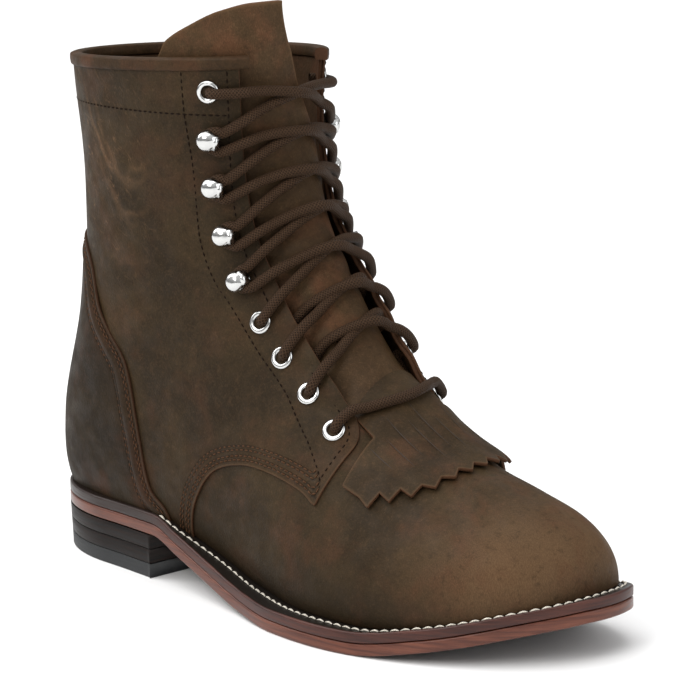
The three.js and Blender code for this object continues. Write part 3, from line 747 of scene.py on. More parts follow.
def rubbed_lines(point, seed):
    """Pale, broken lines where the shaft's folds have been rubbed."""
    total = np.zeros(len(point))
    steps = 90
    for line, strength in RUBBED_LINES:
        path = spline(line, steps)
        path[:, 0] += 0.025 * np.sin(np.linspace(0, 23, steps) + seed)
        places = skin(path[:, 0], np.radians(path[:, 1]))
        away = np.linalg.norm(point[:, None] - places[None], axis=2)
        nearest = away.argmin(1)
        fade = np.sin(np.pi * np.clip(nearest / (steps - 1), 0.04, 0.96))
        total = np.maximum(total, 1.5 * strength * fade * np.exp(-((away.min(1) / 1.2) ** 2)))
    return total * np.clip(0.85 + 0.3 * lumps(point, 9, seed), 0, 1)


def relief(point, creases, seed, mirrored=False):
    """Height of the leather's slow swell and of its creases."""
    total = 0.22 * lumps(point, 46, seed)
    for line, width, depth in creases:
        line = line * np.array([1, -1]) if mirrored else line
        total = total + crease(point, line, width, depth)
    return total


def under_quarter(s, angle, point):
    """Distance from the vamp's edge, which lies some way under the quarter."""
    return 9.0 - from_quarter_edge(s, angle, point)


def toe_closed(places, faces):
    """The net with its open ring at the tip of the toe filled across."""
    tip = np.flatnonzero(places[:, 0] < 1e-9)
    tip = tip[np.argsort(places[tip, 1])]
    across = []
    for k in range((len(tip) - 1) // 2):
        a, b, c, d = tip[k], tip[k + 1], tip[-2 - k], tip[-1 - k]
        across += [(a, b, c), (a, c, d)] if b != c else [(a, b, d)]
    return places, np.vstack([faces, across])


def joined_below(places, faces):
    """The net with its two sides joined along the sole."""
    points = skin(*places.T).round(5)
    _, first, found = np.unique(points, axis=0, return_index=True, return_inverse=True)
    faces = found.reshape(-1)[faces]
    kept = (faces[:, 0] != faces[:, 1]) & (faces[:, 1] != faces[:, 2]) & (faces[:, 2] != faces[:, 0])
    return places[first], faces[kept]


def vamp_shade(point, height):
    """Painted shade: darker leather beside the welt, most of all on the sides behind the ball."""
    side = smooth_step(point[:, 0], 235.0, 150.0)
    return np.clip(np.exp(-height / 7) * (0.5 + 0.5 * side) + 0.85 * side * np.exp(-height / 38), 0, 1)


def smooth_step(value, low, high):
    """Rise from 0 to 1 between two values, level at both ends."""
    t = np.clip((value - low) / (high - low), 0, 1)
    return t * t * (3 - 2 * t)


# Vamp, from the toe to under the quarters
places, faces = panel(0, 8.8, 190, -180, 180, 210, (under_quarter, above_welt, from_throat))
places, faces = joined_below(*toe_closed(places, faces))
base = skin(*places.T)
# The low value is painted shade beside the welt
values = {"pale": toe_rub(base, 4), "edge": NO_EDGE, "low": vamp_shade(base, above_welt(*places.T, base))}
high = relief(base, VAMP_CREASES, 3)
sheet("vamp", places, faces, high, -1.0, leather_vamp, replaces=("upper",), values=values)

# Quarters, one a side, with the facings and the cuff
DIVE = 0.36  # rows from an eyelet down to where a cord comes out from under the facing
FACING_LIFT = 1.1  # of a facing over a cord


def under_facings(point):
    """1 where a cord runs under the edge of a facing, 0 away from it."""
    total = np.zeros(len(point))
    for i in (5, 6, 7):
        for side in (-1, 1):
            at = on_front(np.array(LACING[i][0] - DIVE), np.array(side * 0.175), 0.0)
            total += np.exp(-((np.linalg.norm(point - at, axis=1) / 6.0) ** 2))
    return np.minimum(total, 1)



def eyestay_angle(s):
    """Angle from the front of the seam behind the eyelets and hooks."""
    return np.interp(s, EYESTAY[::-1, 0], np.radians(EYESTAY[::-1, 1]))


quarters = {}
for name, side in (("lateral", 1), ("medial", -1)):
    first, last = (14, 180) if side > 0 else (-180, -14)
    edges = (from_quarter_edge, from_facing, lambda s, a, p: below_collar(s, a, p) - GAP, above_welt)
    places, faces = panel(4.5, 14.2, 210, first, last, 130, edges)
    s, a = places.T
    base = skin(s, a)
    rate = np.linalg.norm(skin(s, a + 0.01) - skin(s, a - 0.01), axis=1) / 0.02
    values = {
        "edge": from_quarter_edge(s, a, base),
        "eyestay": (side * a - eyestay_angle(s)) * rate,
        "cuff": base[:, 2] - CUFF_HEIGHT,
        "warm": 0.4 * np.exp(-((from_quarter_edge(s, a, base) / 9) ** 2)),
        "rub": np.exp(-((np.hypot(base[:, 0] - 12, 0.8 * (base[:, 2] - 178)) / 34) ** 2)) + 0.12,
    }
    values["pale"] = rubbed_lines(base, 5) if side > 0 else 0.0
    edge, ahead = values["edge"], values["eyestay"] < 0
    values["band"] = np.where(ahead, NO_EDGE, edge)
    # Painted shade, darkest at the welt and fading up the quarter
    values["low"] = np.exp(-above_welt(s, a, base) / 16)
    quarters[name] = (places, faces, values)
    lift = FACING_LIFT * under_facings(base)
    folds = relief(base, SHAFT_CREASES, 7 + side, mirrored=side < 0)
    high = LAP + folds * np.clip(edge / 8, 0.15, 1) + lift
    for place in ROWS_LOW:
        high = high - 0.14 * np.exp(-(((values["band"] - place) / 0.7) ** 2))
    sheet(
        f"quarter_{name}", places, faces, high, lift - 0.05, leather_quarter,
        replaces=("upper",), values=values,
    )

# Lining inside the shaft and foot
edges = (
    lambda s, a, p: from_throat(s, a, p) - 0.5,
    lambda s, a, p: below_collar(s, a, p) - GAP,
    above_welt,
)
places, faces = panel(0.4, 14.2, 150, -180, 180, 120, edges)
base = skin(*places.T)
lift = FACING_LIFT * under_facings(base)
under_vamp = np.clip(-from_quarter_edge(*places.T, base) / 4, 0, 1)
sheet(
    "lining", places, faces, lift - 0.12 - 0.75 * under_vamp, lift - WALL, leather_lining,
    replaces=("upper",), values={"warm": 0.3, "edge": NO_EDGE, "low": 0.0},
)

# Counter over the heel
places, faces = panel(8, 13, 190, 70, 290, 240, (from_counter_edge, above_welt))
s, a = places.T
base = skin(s, a)
edge = from_counter_edge(s, a, base)
high = LAP + GAP + COUNTER * (0.62 + 0.38 * np.clip(edge / 5, 0, 1)) + 0.12 * lumps(base, 40, 5)
for place in ROWS_COUNTER:
    high = high - 0.3 * np.exp(-(((edge - place) / 0.9) ** 2))
high = high + 0.35 * np.exp(-(((edge - 5.8) / 1.6) ** 2))
counter_net = (places, faces, edge)
sheet(
    "counter_panel", places, faces, high, LAP - 0.02, leather_counter, replaces=("counter",),
    values={"edge": edge, "warm": 0.3 * np.exp(-((edge / 12) ** 2))},
)

# Binding rolled over the collar
def collar_binding():
    """Strip folded over the collar, from one facing round the back to the other."""
    start = float(angle_of(COLLAR_ROW, -THROAT[7, 1]))
    angles = np.linspace(start, 2 * np.pi - start, 260)
    outer, inner = LAP + GAP + BINDING, -WALL - GAP - BINDING
    middle, half = (outer + inner) / 2, (outer - inner) / 2
    turn = np.linspace(0, np.pi, 13)
    arch = np.stack([middle + half * np.cos(turn), GAP + (BINDING + 0.2) * np.sin(turn) - 0.4], 1)
    foot = -BINDING_DEPTH
    outside = [[outer - 0.5, foot], [outer - 0.08, foot + 0.5], [outer, foot + 1.4], [outer + 0.1, -1.8]]
    inside = [[inner, -1.8], [inner + 0.1, foot + 0.6], [inner + 0.7, foot], [0, foot + 0.2]]
    leg = np.vstack([outside, arch, inside])
    rise = ((skin(COLLAR_ROW, angles) - skin(COLLAR_ROW - 0.1, angles))[:, 2]) / 0.1
    count = len(leg)
    loops = [surface(COLLAR_ROW + z / rise, angles, np.full(len(angles), out)) for out, z in leg]
    points = np.stack(loops, 1).reshape(-1, 3)
    body = wrapped(len(angles), count)
    first, last = points[:count], points[-count:]
    caps = np.vstack([points, first, last])
    end = len(points)
    ends = [list(range(end + count - 1, end - 1, -1)), list(range(end + count, end + 2 * count))]
    raw = np.concatenate([np.zeros(end), np.ones(2 * count)])
    values = {"raw": raw, "edge": np.full(len(caps), NO_EDGE), "warm": np.full(len(caps), 0.25)}
    return make("binding", caps, body.tolist() + ends, leather_binding, ("collar_binding",), values)


collar_binding()


# Tongue, pressed down where the cords run under the facings
def tongue_place(v, t, out):
    """Point of the tongue at shares of its length and width."""
    top = look_up(TONGUE_TOP, t)[..., 0]
    s = TONGUE_ROWS[0, 0] + (top - TONGUE_ROWS[0, 0]) * v
    lateral, medial = np.moveaxis(look_up(TONGUE_ROWS, s), -1, 0)
    dip = -WALL - SHEET_GAP - (BINDING + GAP) * smooth_step(s, 12, 13.5)
    return surface(s, np.radians(lateral + (medial - lateral) * t), dip + out)


places, faces = grid(0, 1, 200, 0, 1, 70)
flat_tongue = tongue_place(*places.T, np.zeros(len(places)))
dents = -3.2 * under_facings(flat_tongue)
share = flat_tongue[:, 1] / BALL
level = flat_tongue[:, 2]
sunk = smooth_step(share, 0.05, 0.17) * smooth_step(level, 88, 104) * (1 - smooth_step(level, 150, 172))
dents = np.minimum(dents, -2.6 * sunk)
wave = 0.35 * lumps(flat_tongue, 30, 11)
for height, depth in ((150, 0.8), (139, 0.7), (172, 0.4)):
    slope = level - height + 0.25 * flat_tongue[:, 1]
    wave -= depth * np.exp(-((slope / 2.6) ** 2))
faces = faces[:, ::-1]
edge = np.minimum(np.minimum(places[:, 1], 1 - places[:, 1]) * 55, (1 - places[:, 0]) * 190)
sheet(
    "tongue_panel", places, faces, wave + dents, -TONGUE + dents, leather_tongue,
    point=tongue_place, replaces=("tongue",), values={"edge": edge, "warm": 0.25},
)


# Pinked flap over the foot of the tongue, its free corner curled up
def kiltie_outline():
    """Outline of the flap in plan, pinked along its front."""
    path = rows(KILTIE_FRONT, np.linspace(0, len(KILTIE_FRONT) - 1, 600))
    path = np.stack([to_x(path[:, 0]), BALL * path[:, 1]], 1)
    edge = spaced(path, 2 * PINKS + 1, by_count=True)
    tangent = np.gradient(edge, axis=0)
    outward = unit(np.stack([tangent[:, 1], -tangent[:, 0]], 1))
    reach = np.where(np.arange(len(edge)) % 2, BALL * PINK_SHARE, 0)
    side = np.stack([to_x([x for x, _ in KILTIE_SIDE]), [BALL * y for _, y in KILTIE_SIDE]], 1)
    return np.vstack([side * [1, -1], edge + outward * reach[:, None], side[::-1]])


def kiltie_dip(s):
    """Height of the flap's underside over the form, sinking under the facings."""
    return SHEET_GAP + GAP - (WALL + SHEET_GAP) * smooth_step(s, 6.1, 6.6) - 0.95 * smooth_step(s, 6.4, 6.8)


def kiltie_taper(s):
    """Share of the kiltie's thickness, skived thin at its upper end."""
    return 1 - 0.92 * smooth_step(s, 6.35, 6.75)


def kiltie_place(s, share, out):
    """Point at a height over the flap's underside."""
    return on_front(s, share, kiltie_dip(s) + out)


places, faces = grid(4.2, 7.0, 110, -0.4, 0.4, 120)
faces = faces[:, ::-1]
outline = kiltie_outline()
places, faces = clip(places, faces, polygon_distance(on_front(*places.T)[:, :2], outline))
base = on_front(*places.T)
edge = polygon_distance(base[:, :2], outline)
corner = np.hypot(base[:, 0] - to_x(0.745), base[:, 1] - BALL * 0.31)
curl = 3.4 * np.exp(-((corner / 11) ** 2))
ripple = 0.25 * lumps(base, 22, 17)
for x, y, width in ((0.715, -0.2, 7), (0.74, -0.06, 7), (0.735, 0.12, 7)):
    ripple += 0.35 * np.exp(-(((base[:, 1] - BALL * y) / width) ** 2)) * np.exp(-((edge / 14) ** 2))
high = KILTIE * kiltie_taper(places[:, 0]) + curl + ripple
sheet(
    "kiltie_flap", places, faces, high, 0.06 + curl + ripple, leather_kiltie,
    point=kiltie_place, replaces=("kiltie",),
    values={"edge": np.where(places[:, 0] > 6.2, NO_EDGE, edge), "warm": 0.1},
)


def ribbon(name, lines, width, material):
    """Narrow tapered strips along lines of points, each point with its normal."""
    points, faces = [], []
    for line, up in lines:
        along = unit(np.gradient(line, axis=0))
        across = unit(np.cross(along, up))
        taper = np.sin(np.linspace(0.08, np.pi - 0.08, len(line)))[:, None] * width / 2
        base_index = sum(map(len, points))
        points.append(np.stack([line - across * taper, line + across * taper], 1).reshape(-1, 3))
        for k in range(len(line) - 1):
            a = base_index + 2 * k
            faces.append([a, a + 1, a + 3, a + 2])
    return make(name, np.vstack(points), faces, material)


def dark_cut(name):
    """The shadow inside a cut in the leather."""
    look = Look(name, Roughness=0.85)
    return look.set(Base_Color=look.mix(look.noise(1.5, 2), (0.018, 0.012, 0.008), (0.04, 0.025, 0.016)))


KILTIE_SLITS = [
    # share across at its front end, rows it runs between, lean in shares a row
    (-0.24, 5.4, 5.95, 0.02), (-0.185, 5.2, 5.85, 0.02), (-0.13, 5.3, 6.15, 0.015),
    (-0.07, 5.05, 5.9, 0.01), (-0.01, 5.2, 6.2, 0.0), (0.05, 5.1, 5.85, -0.01), (0.12, 5.3, 6.1, -0.01),
]
# Dark strips laid over the flap along its slits: painted shadow inside each cut, the flap itself is not cut
slit_lines = []
for share, start, end, lean in KILTIE_SLITS:
    s = np.linspace(start, end, 24)
    across = share + lean * (s - start)
    near = kiltie_place(s, across, np.full(24, KILTIE + 0.45))
    up = normal(s, angle_of(s, across))
    slit_lines.append((near, up))
ribbon("kiltie_slit_shadows", slit_lines, 0.36, dark_cut("cut_shadow"))


# Stitches, each a short rounded thread that dips at its ends
def stitches(name, lines, pitch, length, thick, material):
    """Joined stitches along lines of (points, normals)."""
    sides, rings = 6, 5
    turn = np.linspace(0, 2 * np.pi, sides, endpoint=False)
    t = np.linspace(0, 1, rings)
    swell = np.sin(np.pi * np.clip(t, 0.06, 0.94)) ** 0.5
    points, faces, count = [], [], 0
    shell = wrapped(rings, sides)
    for line, up in lines:
        both = spaced(np.hstack([line, up]), pitch)
        for here, there in zip(both[:-1], both[1:]):
            start, step = here[:3], there[:3] - here[:3]
            size = np.linalg.norm(step)
            if size < 1e-6:
                continue
            over = unit(here[3:] + there[3:])
            along = step / size
            across = np.cross(along, over)
            reach = start + along * (size - length) / 2
            height = thick * (0.9 * np.sin(np.pi * t) - 0.35)
            centre = reach[None] + along * (t * length)[:, None] + over * height[:, None]
            ring = np.cos(turn)[:, None] * across + np.sin(turn)[:, None] * over * 0.8
            points.append((centre[:, None] + ring[None] * (thick * swell)[:, None, None]).reshape(-1, 3))
            faces.append(shell + count)
            count += rings * sides
    return make(name, np.vstack(points), np.vstack(faces).tolist(), material)


def lifted(line, out):
    """Points and normals of places on the form, raised from it."""
    s, a = spaced_places(line)
    return surface(s, a, np.full(len(s), out)), normal(s, a)


def spaced_places(line):
    """Section rows and angles at even distances along a line on the form."""
    points = skin(line[:, 0], line[:, 1])
    steps = np.linalg.norm(np.diff(points, axis=0), axis=1)
    run = np.concatenate([[0], np.cumsum(steps)])
    at = np.linspace(0, run[-1], max(4, int(run[-1] / 0.8)))
    return np.interp(at, run, line[:, 0]), np.interp(at, run, line[:, 1])


def rows_at(net, values, levels, keep, out, least=12):
    """Lines of stitches at distances from an edge, where a second distance allows."""
    found = []
    for level in levels:
        for line in contour(net[0], net[1], values, level):
            base = skin(line[:, 0], line[:, 1])
            line = line[keep(line[:, 0], line[:, 1], base)]
            if len(line) > least:
                found.append(lifted(line, out))
    return found


def behind_eyestay(s, a, p):
    return np.abs(a) > eyestay_angle(s)


def ahead_of_eyestay(s, a, p):
    return ~behind_eyestay(s, a, p) & (below_collar(s, a, p) > BINDING_DEPTH)


def off_facing(s, a, p):
    return from_facing(s, a, p) > FACING_ROW


def clear_of_welt(s, a, p):
    return above_welt(s, a, p) > 1.5


PITCH = 2.9  # of the stitches in the upper
ON_QUARTER, ON_COUNTER = LAP - 0.02, LAP + GAP + COUNTER - 0.42  # heights of the threads
brown_rows, dark_rows = [], []
for name, side in (("lateral", 1), ("medial", -1)):
    places, faces, values = quarters[name]
    net = (places, faces)
    brown_rows += rows_at(net, values["edge"], ROWS_LOW, behind_eyestay, ON_QUARTER)
    front_edge = np.minimum(values["edge"], from_facing(*places.T, skin(*places.T)))
    dark_rows += rows_at(net, front_edge, (FACING_ROW,), ahead_of_eyestay, ON_QUARTER)
    stay = np.linspace(13.86, 6.3, 300)
    dark_rows.append(lifted(np.stack([stay, side * eyestay_angle(stay)], 1), ON_QUARTER))
    dark_rows += rows_at(net, values["cuff"], (0.0,), off_facing, ON_QUARTER)
places, faces, edge = counter_net
counter_rows = rows_at((places, faces), edge, ROWS_COUNTER, clear_of_welt, ON_COUNTER)
stitches("upper_stitching", brown_rows, PITCH, 2.2, 0.33, thread_brown)
stitches("facing_stitching", dark_rows, PITCH, 2.1, 0.34, thread_dark)
stitches("counter_stitching", counter_rows, PITCH, 2.2, 0.3, thread_brown)


# Hardware
def frame_at(s, share):
    """Point on the facing, its normal, and directions up the boot and towards the throat."""
    s, share = np.array(s, float), np.array(share, float)
    base = on_front(s, share, LAP)
    axis = normal(s, angle_of(s, share))
    rise = on_front(s + 0.05, share) - on_front(s - 0.05, share)
    up = unit(rise - axis * (rise @ axis))
    throat = np.cross(up, axis) * (1 if share < 0 else -1)
    if throat @ (on_front(s, share * 0.9) - on_front(s, share)) < 0:
        throat = -throat
    return base, axis, up, throat


def lathe(profile, count, base, axis, first, second, closed):
    """Points and quads of a profile of (radius, height) turned about an axis."""
    turn = np.linspace(0, 2 * np.pi, count, endpoint=False)
    circle = np.cos(turn)[:, None] * first + np.sin(turn)[:, None] * second
    points = np.concatenate([base + axis * h + circle * r for r, h in profile])
    return points, wrapped(len(profile), count, closed)


EYELET_FOOT = -WALL - LAP + 0.1
EYELET_PROFILE = [(2.5, EYELET_FOOT), (3.0, EYELET_FOOT), (3.0, 0.1), (4.7, 0.1)]
EYELET_PROFILE += [(3.65 + 1.15 * math.cos(a), 0.35 + math.sin(a)) for a in np.linspace(0, np.pi, 12)]
HOOK_FOOT = [(0.01, 0.75), (2.2, 0.72), (3.3, 0.5), (3.6, 0.1), (3.6, 0.0)]
# Strap of a hook: towards the throat, away from the leather; and its half width along it
STRAP = np.array([[0.6, 0.85], [2.4, 0.95], [3.7, 1.9], [4.35, 3.6], [4.3, 5.4], [3.5, 6.6], [2.2, 7.0]])
STRAP_WIDTHS = [[0, 0.35, 0.6, 0.85, 1], [2.3, 2.2, 2.6, 3.0, 2.6]]
STRAP_STEPS, STRAP_THICK = 24, 0.8
HOOD, HOOD_CUT, HOOD_BACK = 4.6, 4.1, 0.7  # its radius, reach to the throat, and shift from it
HOOD_TOP, HOOD_RIM, HOOD_UNDER = 8.6, 4.7, 5.4
HOOD_LIP = [(0.86, 0.25), (0.96, 0.0), (1.0, 0.12), (0.99, 0.3)]  # share of the radius, lift
HOOD_DOME = (0.95, 0.86, 0.72, 0.54, 0.34, 0.14, 0.0)  # shares of the radius


def hook(base, axis, up, throat):
    """Domed lacing hook: riveted foot, strap on the throat's side and a hood over the cord."""
    points, faces = [], []

    def add(new, quads):
        faces.extend((np.asarray(quads) + sum(map(len, points))).tolist())
        points.append(new)

    add(*lathe(HOOK_FOOT, 32, base, axis, throat, up, False))
    bend = spline(STRAP, STRAP_STEPS)
    along = unit(np.gradient(bend, axis=0))
    out = np.stack([along[:, 1], -along[:, 0]], 1) * STRAP_THICK / 2
    half = np.interp(np.linspace(0, 1, STRAP_STEPS), *STRAP_WIDTHS)
    ring = []
    for side, skin_side in ((1, 1), (-1, 1), (-1, -1), (1, -1)):
        place = bend + out * skin_side
        ring.append(base + throat * place[:, :1] + axis * place[:, 1:] + up * (half * side)[:, None])
    ring = np.stack(ring, 1).reshape(-1, 3)
    add(ring, wrapped(len(bend), 4))
    turn = np.linspace(0, 2 * np.pi, 48, endpoint=False)
    reach = np.minimum(HOOD, HOOD_CUT / np.maximum(np.cos(turn), 0.01))
    reach = np.where(np.cos(turn) > 0, reach, HOOD)
    rim = HOOD_RIM + 1.5 * np.maximum(0, np.cos(turn)) ** 2
    rings = [base - throat * HOOD_BACK + axis * HOOD_UNDER + 0 * turn[:, None]]
    domed = [(share, (HOOD_TOP - rim) * (1 - share**2.6) ** 0.6) for share in HOOD_DOME]
    for share, lift in HOOD_LIP + domed:
        forward = np.cos(turn) * reach * share - HOOD_BACK
        way = throat * forward[:, None] + up * (np.sin(turn) * reach * share)[:, None]
        rings.append(base + way + axis * (rim + lift)[:, None])
    add(np.concatenate(rings), wrapped(len(rings), len(turn)))
    return np.vstack(points), faces


def recalculated(made):
    """Faces turned to point out of the piece."""
    mesh = bmesh.new()
    mesh.from_mesh(made.data)
    bmesh.ops.recalc_face_normals(mesh, faces=mesh.faces)
    mesh.to_mesh(made.data)
    mesh.free()
    return made


for i, (s, half, hooked) in enumerate(LACING):
    for name, side in (("lateral", -1), ("medial", 1)):
        base, axis, up, throat = frame_at(s, side * half)
        solid = f"{'hook' if hooked else 'eyelet'}_{name}_{i + 1}"
        if hooked:
            points, faces = hook(base, axis, up, throat)
        else:
            points, faces = lathe(EYELET_PROFILE, 40, base, axis, throat, up, True)
        recalculated(make(f"lacing_{solid}", points, faces, nickel, (solid,)))


# Lace: one cord from the lateral top eyelet down to the bar at the foot and back up
def moved(i, side, across, up):
    """Row and share a distance from an eyelet or hook, towards the throat and up the boot."""
    s, half, _ = LACING[i]
    share, step = side * half, 0.01
    base = on_front(s, share)
    rates = np.stack([on_front(s + step, share) - base, on_front(s, share + step) - base], 1) / step
    _, _, up_way, throat = frame_at(s, share)
    wanted = throat * across + up_way * up
    return np.array([s, share]) + np.linalg.lstsq(rates, wanted, rcond=None)[0]


ON_TONGUE = -WALL - SHEET_GAP + CORD + 0.35
CROSSED = ON_TONGUE + 1.85 * CORD
BAR_DIP = 0.34  # section rows the bar comes down between its eyelets
BEHIND_FACING = -4.2  # height of the cord inside the boot
# Round a hook: towards the throat, up the boot, height over the form
ROUND_HOOK = [
    (5.6, 4.4, 3.9), (2.4, 4.0, 4.0), (-0.6, 2.6, 3.9), (-1.3, 0, 3.8),
    (-0.6, -2.6, 3.9), (2.4, -4.0, 4.0), (5.6, -4.4, 3.9),
]


def strand(start, end, middle, count=11):
    """Places of a strand between two ends, over the facings' edges and the tongue."""
    t = np.linspace(0, 1, count)[1:-1]
    s, share, _ = (start[:, None] + (end - start)[:, None] * t).tolist()
    s, share = np.array(s), np.array(share)
    half = np.interp(s, THROAT[:, 0], THROAT[:, 1])
    over = smooth_step(np.abs(share), half - 0.075, half + 0.005)
    ends = np.where(t < 0.5, start[2], end[2])
    across = ON_TONGUE + (middle - ON_TONGUE) * np.exp(-(((t - 0.5) / 0.2) ** 2))
    return list(zip(s, share, across * (1 - over) + ends * over))


def hole(i, side, inward):
    """Places through an eyelet, from inside the boot to outside, or the other way."""
    s, half, _ = LACING[i]
    places = [(s, side * half, BEHIND_FACING)]
    places += [(*moved(i, side, across, 0), out) for across, out in ((0.2, -0.8), (1.2, 1.9), (3.2, 4.1))]
    return places[::-1] if inward else places


def under(i, side):
    """Places of a cord from beside the facing's edge below an eyelet to behind the facing."""
    s = LACING[i][0] - DIVE
    return [(s - 0.02, side * 0.13, -1.3), (s, side * 0.172, -3.3), (s + 0.06, side * 0.215, -4.6)]


def round_hook(i, side, from_top):
    """Places round a hook's strap, under its hood."""
    places = [(*moved(i, side, across, up), out) for across, up, out in ROUND_HOOK]
    return places if from_top else places[::-1]


def lace_route():
    """Places of the whole cord: one half crosses down to the bar, the other back up."""
    last = len(LACING) - 1
    side = -1
    route = hole(0, side, inward=False)
    for i in range(1, last):
        hooked = LACING[i][2]
        arrive = round_hook(i, -side, from_top=True) if hooked else hole(i, -side, inward=True)
        middle = CROSSED if side < 0 else ON_TONGUE
        route += strand(np.array(route[-1]), np.array(arrive[0]), middle) + arrive
        side = -side
        if not hooked and i < last - 1:
            route += under(i, side)[::-1]
    inside = LACING[last][0] + 0.35
    route += [(inside, side * 0.25, BEHIND_FACING)] + hole(last, side, inward=False)
    arrive = hole(last, -side, inward=True)
    bar = np.array(strand(np.array(route[-1]), np.array(arrive[0]), ON_TONGUE + 0.9))
    bar[:, 0] -= BAR_DIP * np.cos(np.pi / 2 * np.clip(bar[:, 1] / 0.2, -1, 1))
    on_kiltie = kiltie_dip(bar[:, 0]) + KILTIE * kiltie_taper(bar[:, 0]) + CORD + 0.45
    bar[:, 2] = np.maximum(bar[:, 2], on_kiltie)
    route += bar.tolist() + arrive
    side = -side
    route += [(inside, side * 0.25, BEHIND_FACING)]
    for i in range(last - 1, 0, -1):
        if not LACING[i][2]:
            route += hole(i, side, inward=False)
        if LACING[i - 1][2]:
            arrive = round_hook(i - 1, -side, from_top=False)
        elif i == 1:
            arrive = hole(0, -side, inward=True)
        else:
            arrive = under(i - 1, -side)
        middle = ON_TONGUE if side < 0 else CROSSED
        route += strand(np.array(route[-1]), np.array(arrive[0]), middle) + arrive
        side = -side
    return np.array(route)


def tube(name, points, radius, sides, material, replaces, pitch=1.0):
    """Round cord along points, with the distance along it and round it as its map."""
    dense = spaced(rows(points, np.linspace(0, len(points) - 1, len(points) * 12)), pitch)
    along = unit(np.gradient(dense, axis=0))
    up = np.zeros_like(dense)
    up[0] = unit(np.cross(along[0], [0.3, 0.5, 0.8]))
    for k in range(1, len(dense)):
        up[k] = unit(up[k - 1] - along[k] * (up[k - 1] @ along[k]))
    across = np.cross(along, up)
    turn = np.linspace(0, 2 * np.pi, sides, endpoint=False)
    ring = np.cos(turn)[None, :, None] * up[:, None] + np.sin(turn)[None, :, None] * across[:, None]
    points = (dense[:, None] + ring * radius).reshape(-1, 3)
    quads = wrapped(len(dense), sides)
    ring_number, side_number = np.divmod(quads[:, 0], sides)
    run, share = ring_number * pitch, side_number / sides
    later, past = run + pitch, share + 1 / sides
    corners = ((run, share), (run, past), (later, past), (later, share))
    uv = np.stack([np.stack(pair, 1) for pair in corners], 1)
    return make(name, points, quads.tolist(), material, replaces, uv=uv.reshape(-1, 2))


def braid(name, low, high):
    """Braided cord: two sets of plaits that cross along the map's directions, with painted shade in the
    hollows between them.
    """
    look = Look(name, Roughness=0.6, Specular_IOR_Level=0.12)
    uv = node(look.tree, "ShaderNodeUVMap", uv_map="along").outputs[0]
    parts = node(look.tree, "ShaderNodeSeparateXYZ", {0: uv})
    run, turn = parts.outputs[0], parts.outputs[1]
    waves = []
    for way in (1.0, -1.0):
        along, around = look.times(run, 2 * math.pi / 1.25), look.times(turn, way * 2 * math.pi * 8)
        waves.append(look.math("SINE", look.math("ADD", along, around)))
    height = look.math("MAXIMUM", waves[0], waves[1])
    fine = look.noise(0.5, 3)
    # Painted shade: the low colour in the hollows, the high one on the plaits' tops
    shade = look.ramp(height, -0.1, 0.95)
    tone = look.mix(shade, low, high)
    tone = look.mix(look.times(fine, 0.4), tone, low)
    return look.set(Base_Color=tone, Normal=look.bump(height, 0.28, 0.9))


lace_look = braid("braided_cord", (0.022, 0.0115, 0.0055), (0.06, 0.032, 0.0165))
route = lace_route()
lace_points = on_front(route[:, 0], route[:, 1], route[:, 2])
lace_nodes = [f"lace_cross_{i}" for i in range(1, 8)] + ["lace_bar"]
recalculated(tube("lace", lace_points, CORD, 14, lace_look, lace_nodes, pitch=0.9))


# Sole
def sole_at(share):
    """The sole's lateral and medial edges at a share of the length."""
    middle, half = np.moveaxis(look_up(PLAN, share), -1, 0)
    heel = np.maximum(0, 1 - share / HEEL_ROUND)
    toe = np.maximum(0, (share - 1 + TOE_ROUND) / TOE_ROUND)
    width = half * np.sqrt(np.maximum(0, 1 - heel**2)) * np.maximum(0, 1 - toe**2.1) ** (1 / 2.1)
    return BALL * (middle - width), BALL * (middle + width)


def sole_loop(to, count, inset):
    """Loop round the sole at an inset, lateral side first, with the share of each point."""
    t = np.linspace(0, 1, count + 1)
    places = to * t**2 if to < 1 else 0.9 * (1 - np.cos(np.pi * t)) / 2 + 0.1 * t
    lateral, medial = sole_at(places)
    line = np.stack([to_x(places), lateral], 1)
    back = np.stack([to_x(places), medial], 1)[::-1]
    loop = np.vstack([line, back[1:-1] if to == 1 else back[:-1]])
    before, after = np.roll(loop, 1, 0), np.roll(loop, -1, 0)
    inward = unit(np.stack([before[:, 1] - after[:, 1], after[:, 0] - before[:, 0]], 1))
    return loop + inward * inset


def corner(inset, radius, top, count=5):
    """Rounded edge of a layer, as (inset, from the top, distance from it)."""
    turn = np.linspace(0, np.pi / 2, count)
    if top:
        return [(inset + radius * (1 - math.cos(a)), True, radius * (1 - math.sin(a))) for a in turn]
    return [(inset + radius * (1 - math.sin(a)), False, radius * (1 - math.cos(a))) for a in turn]


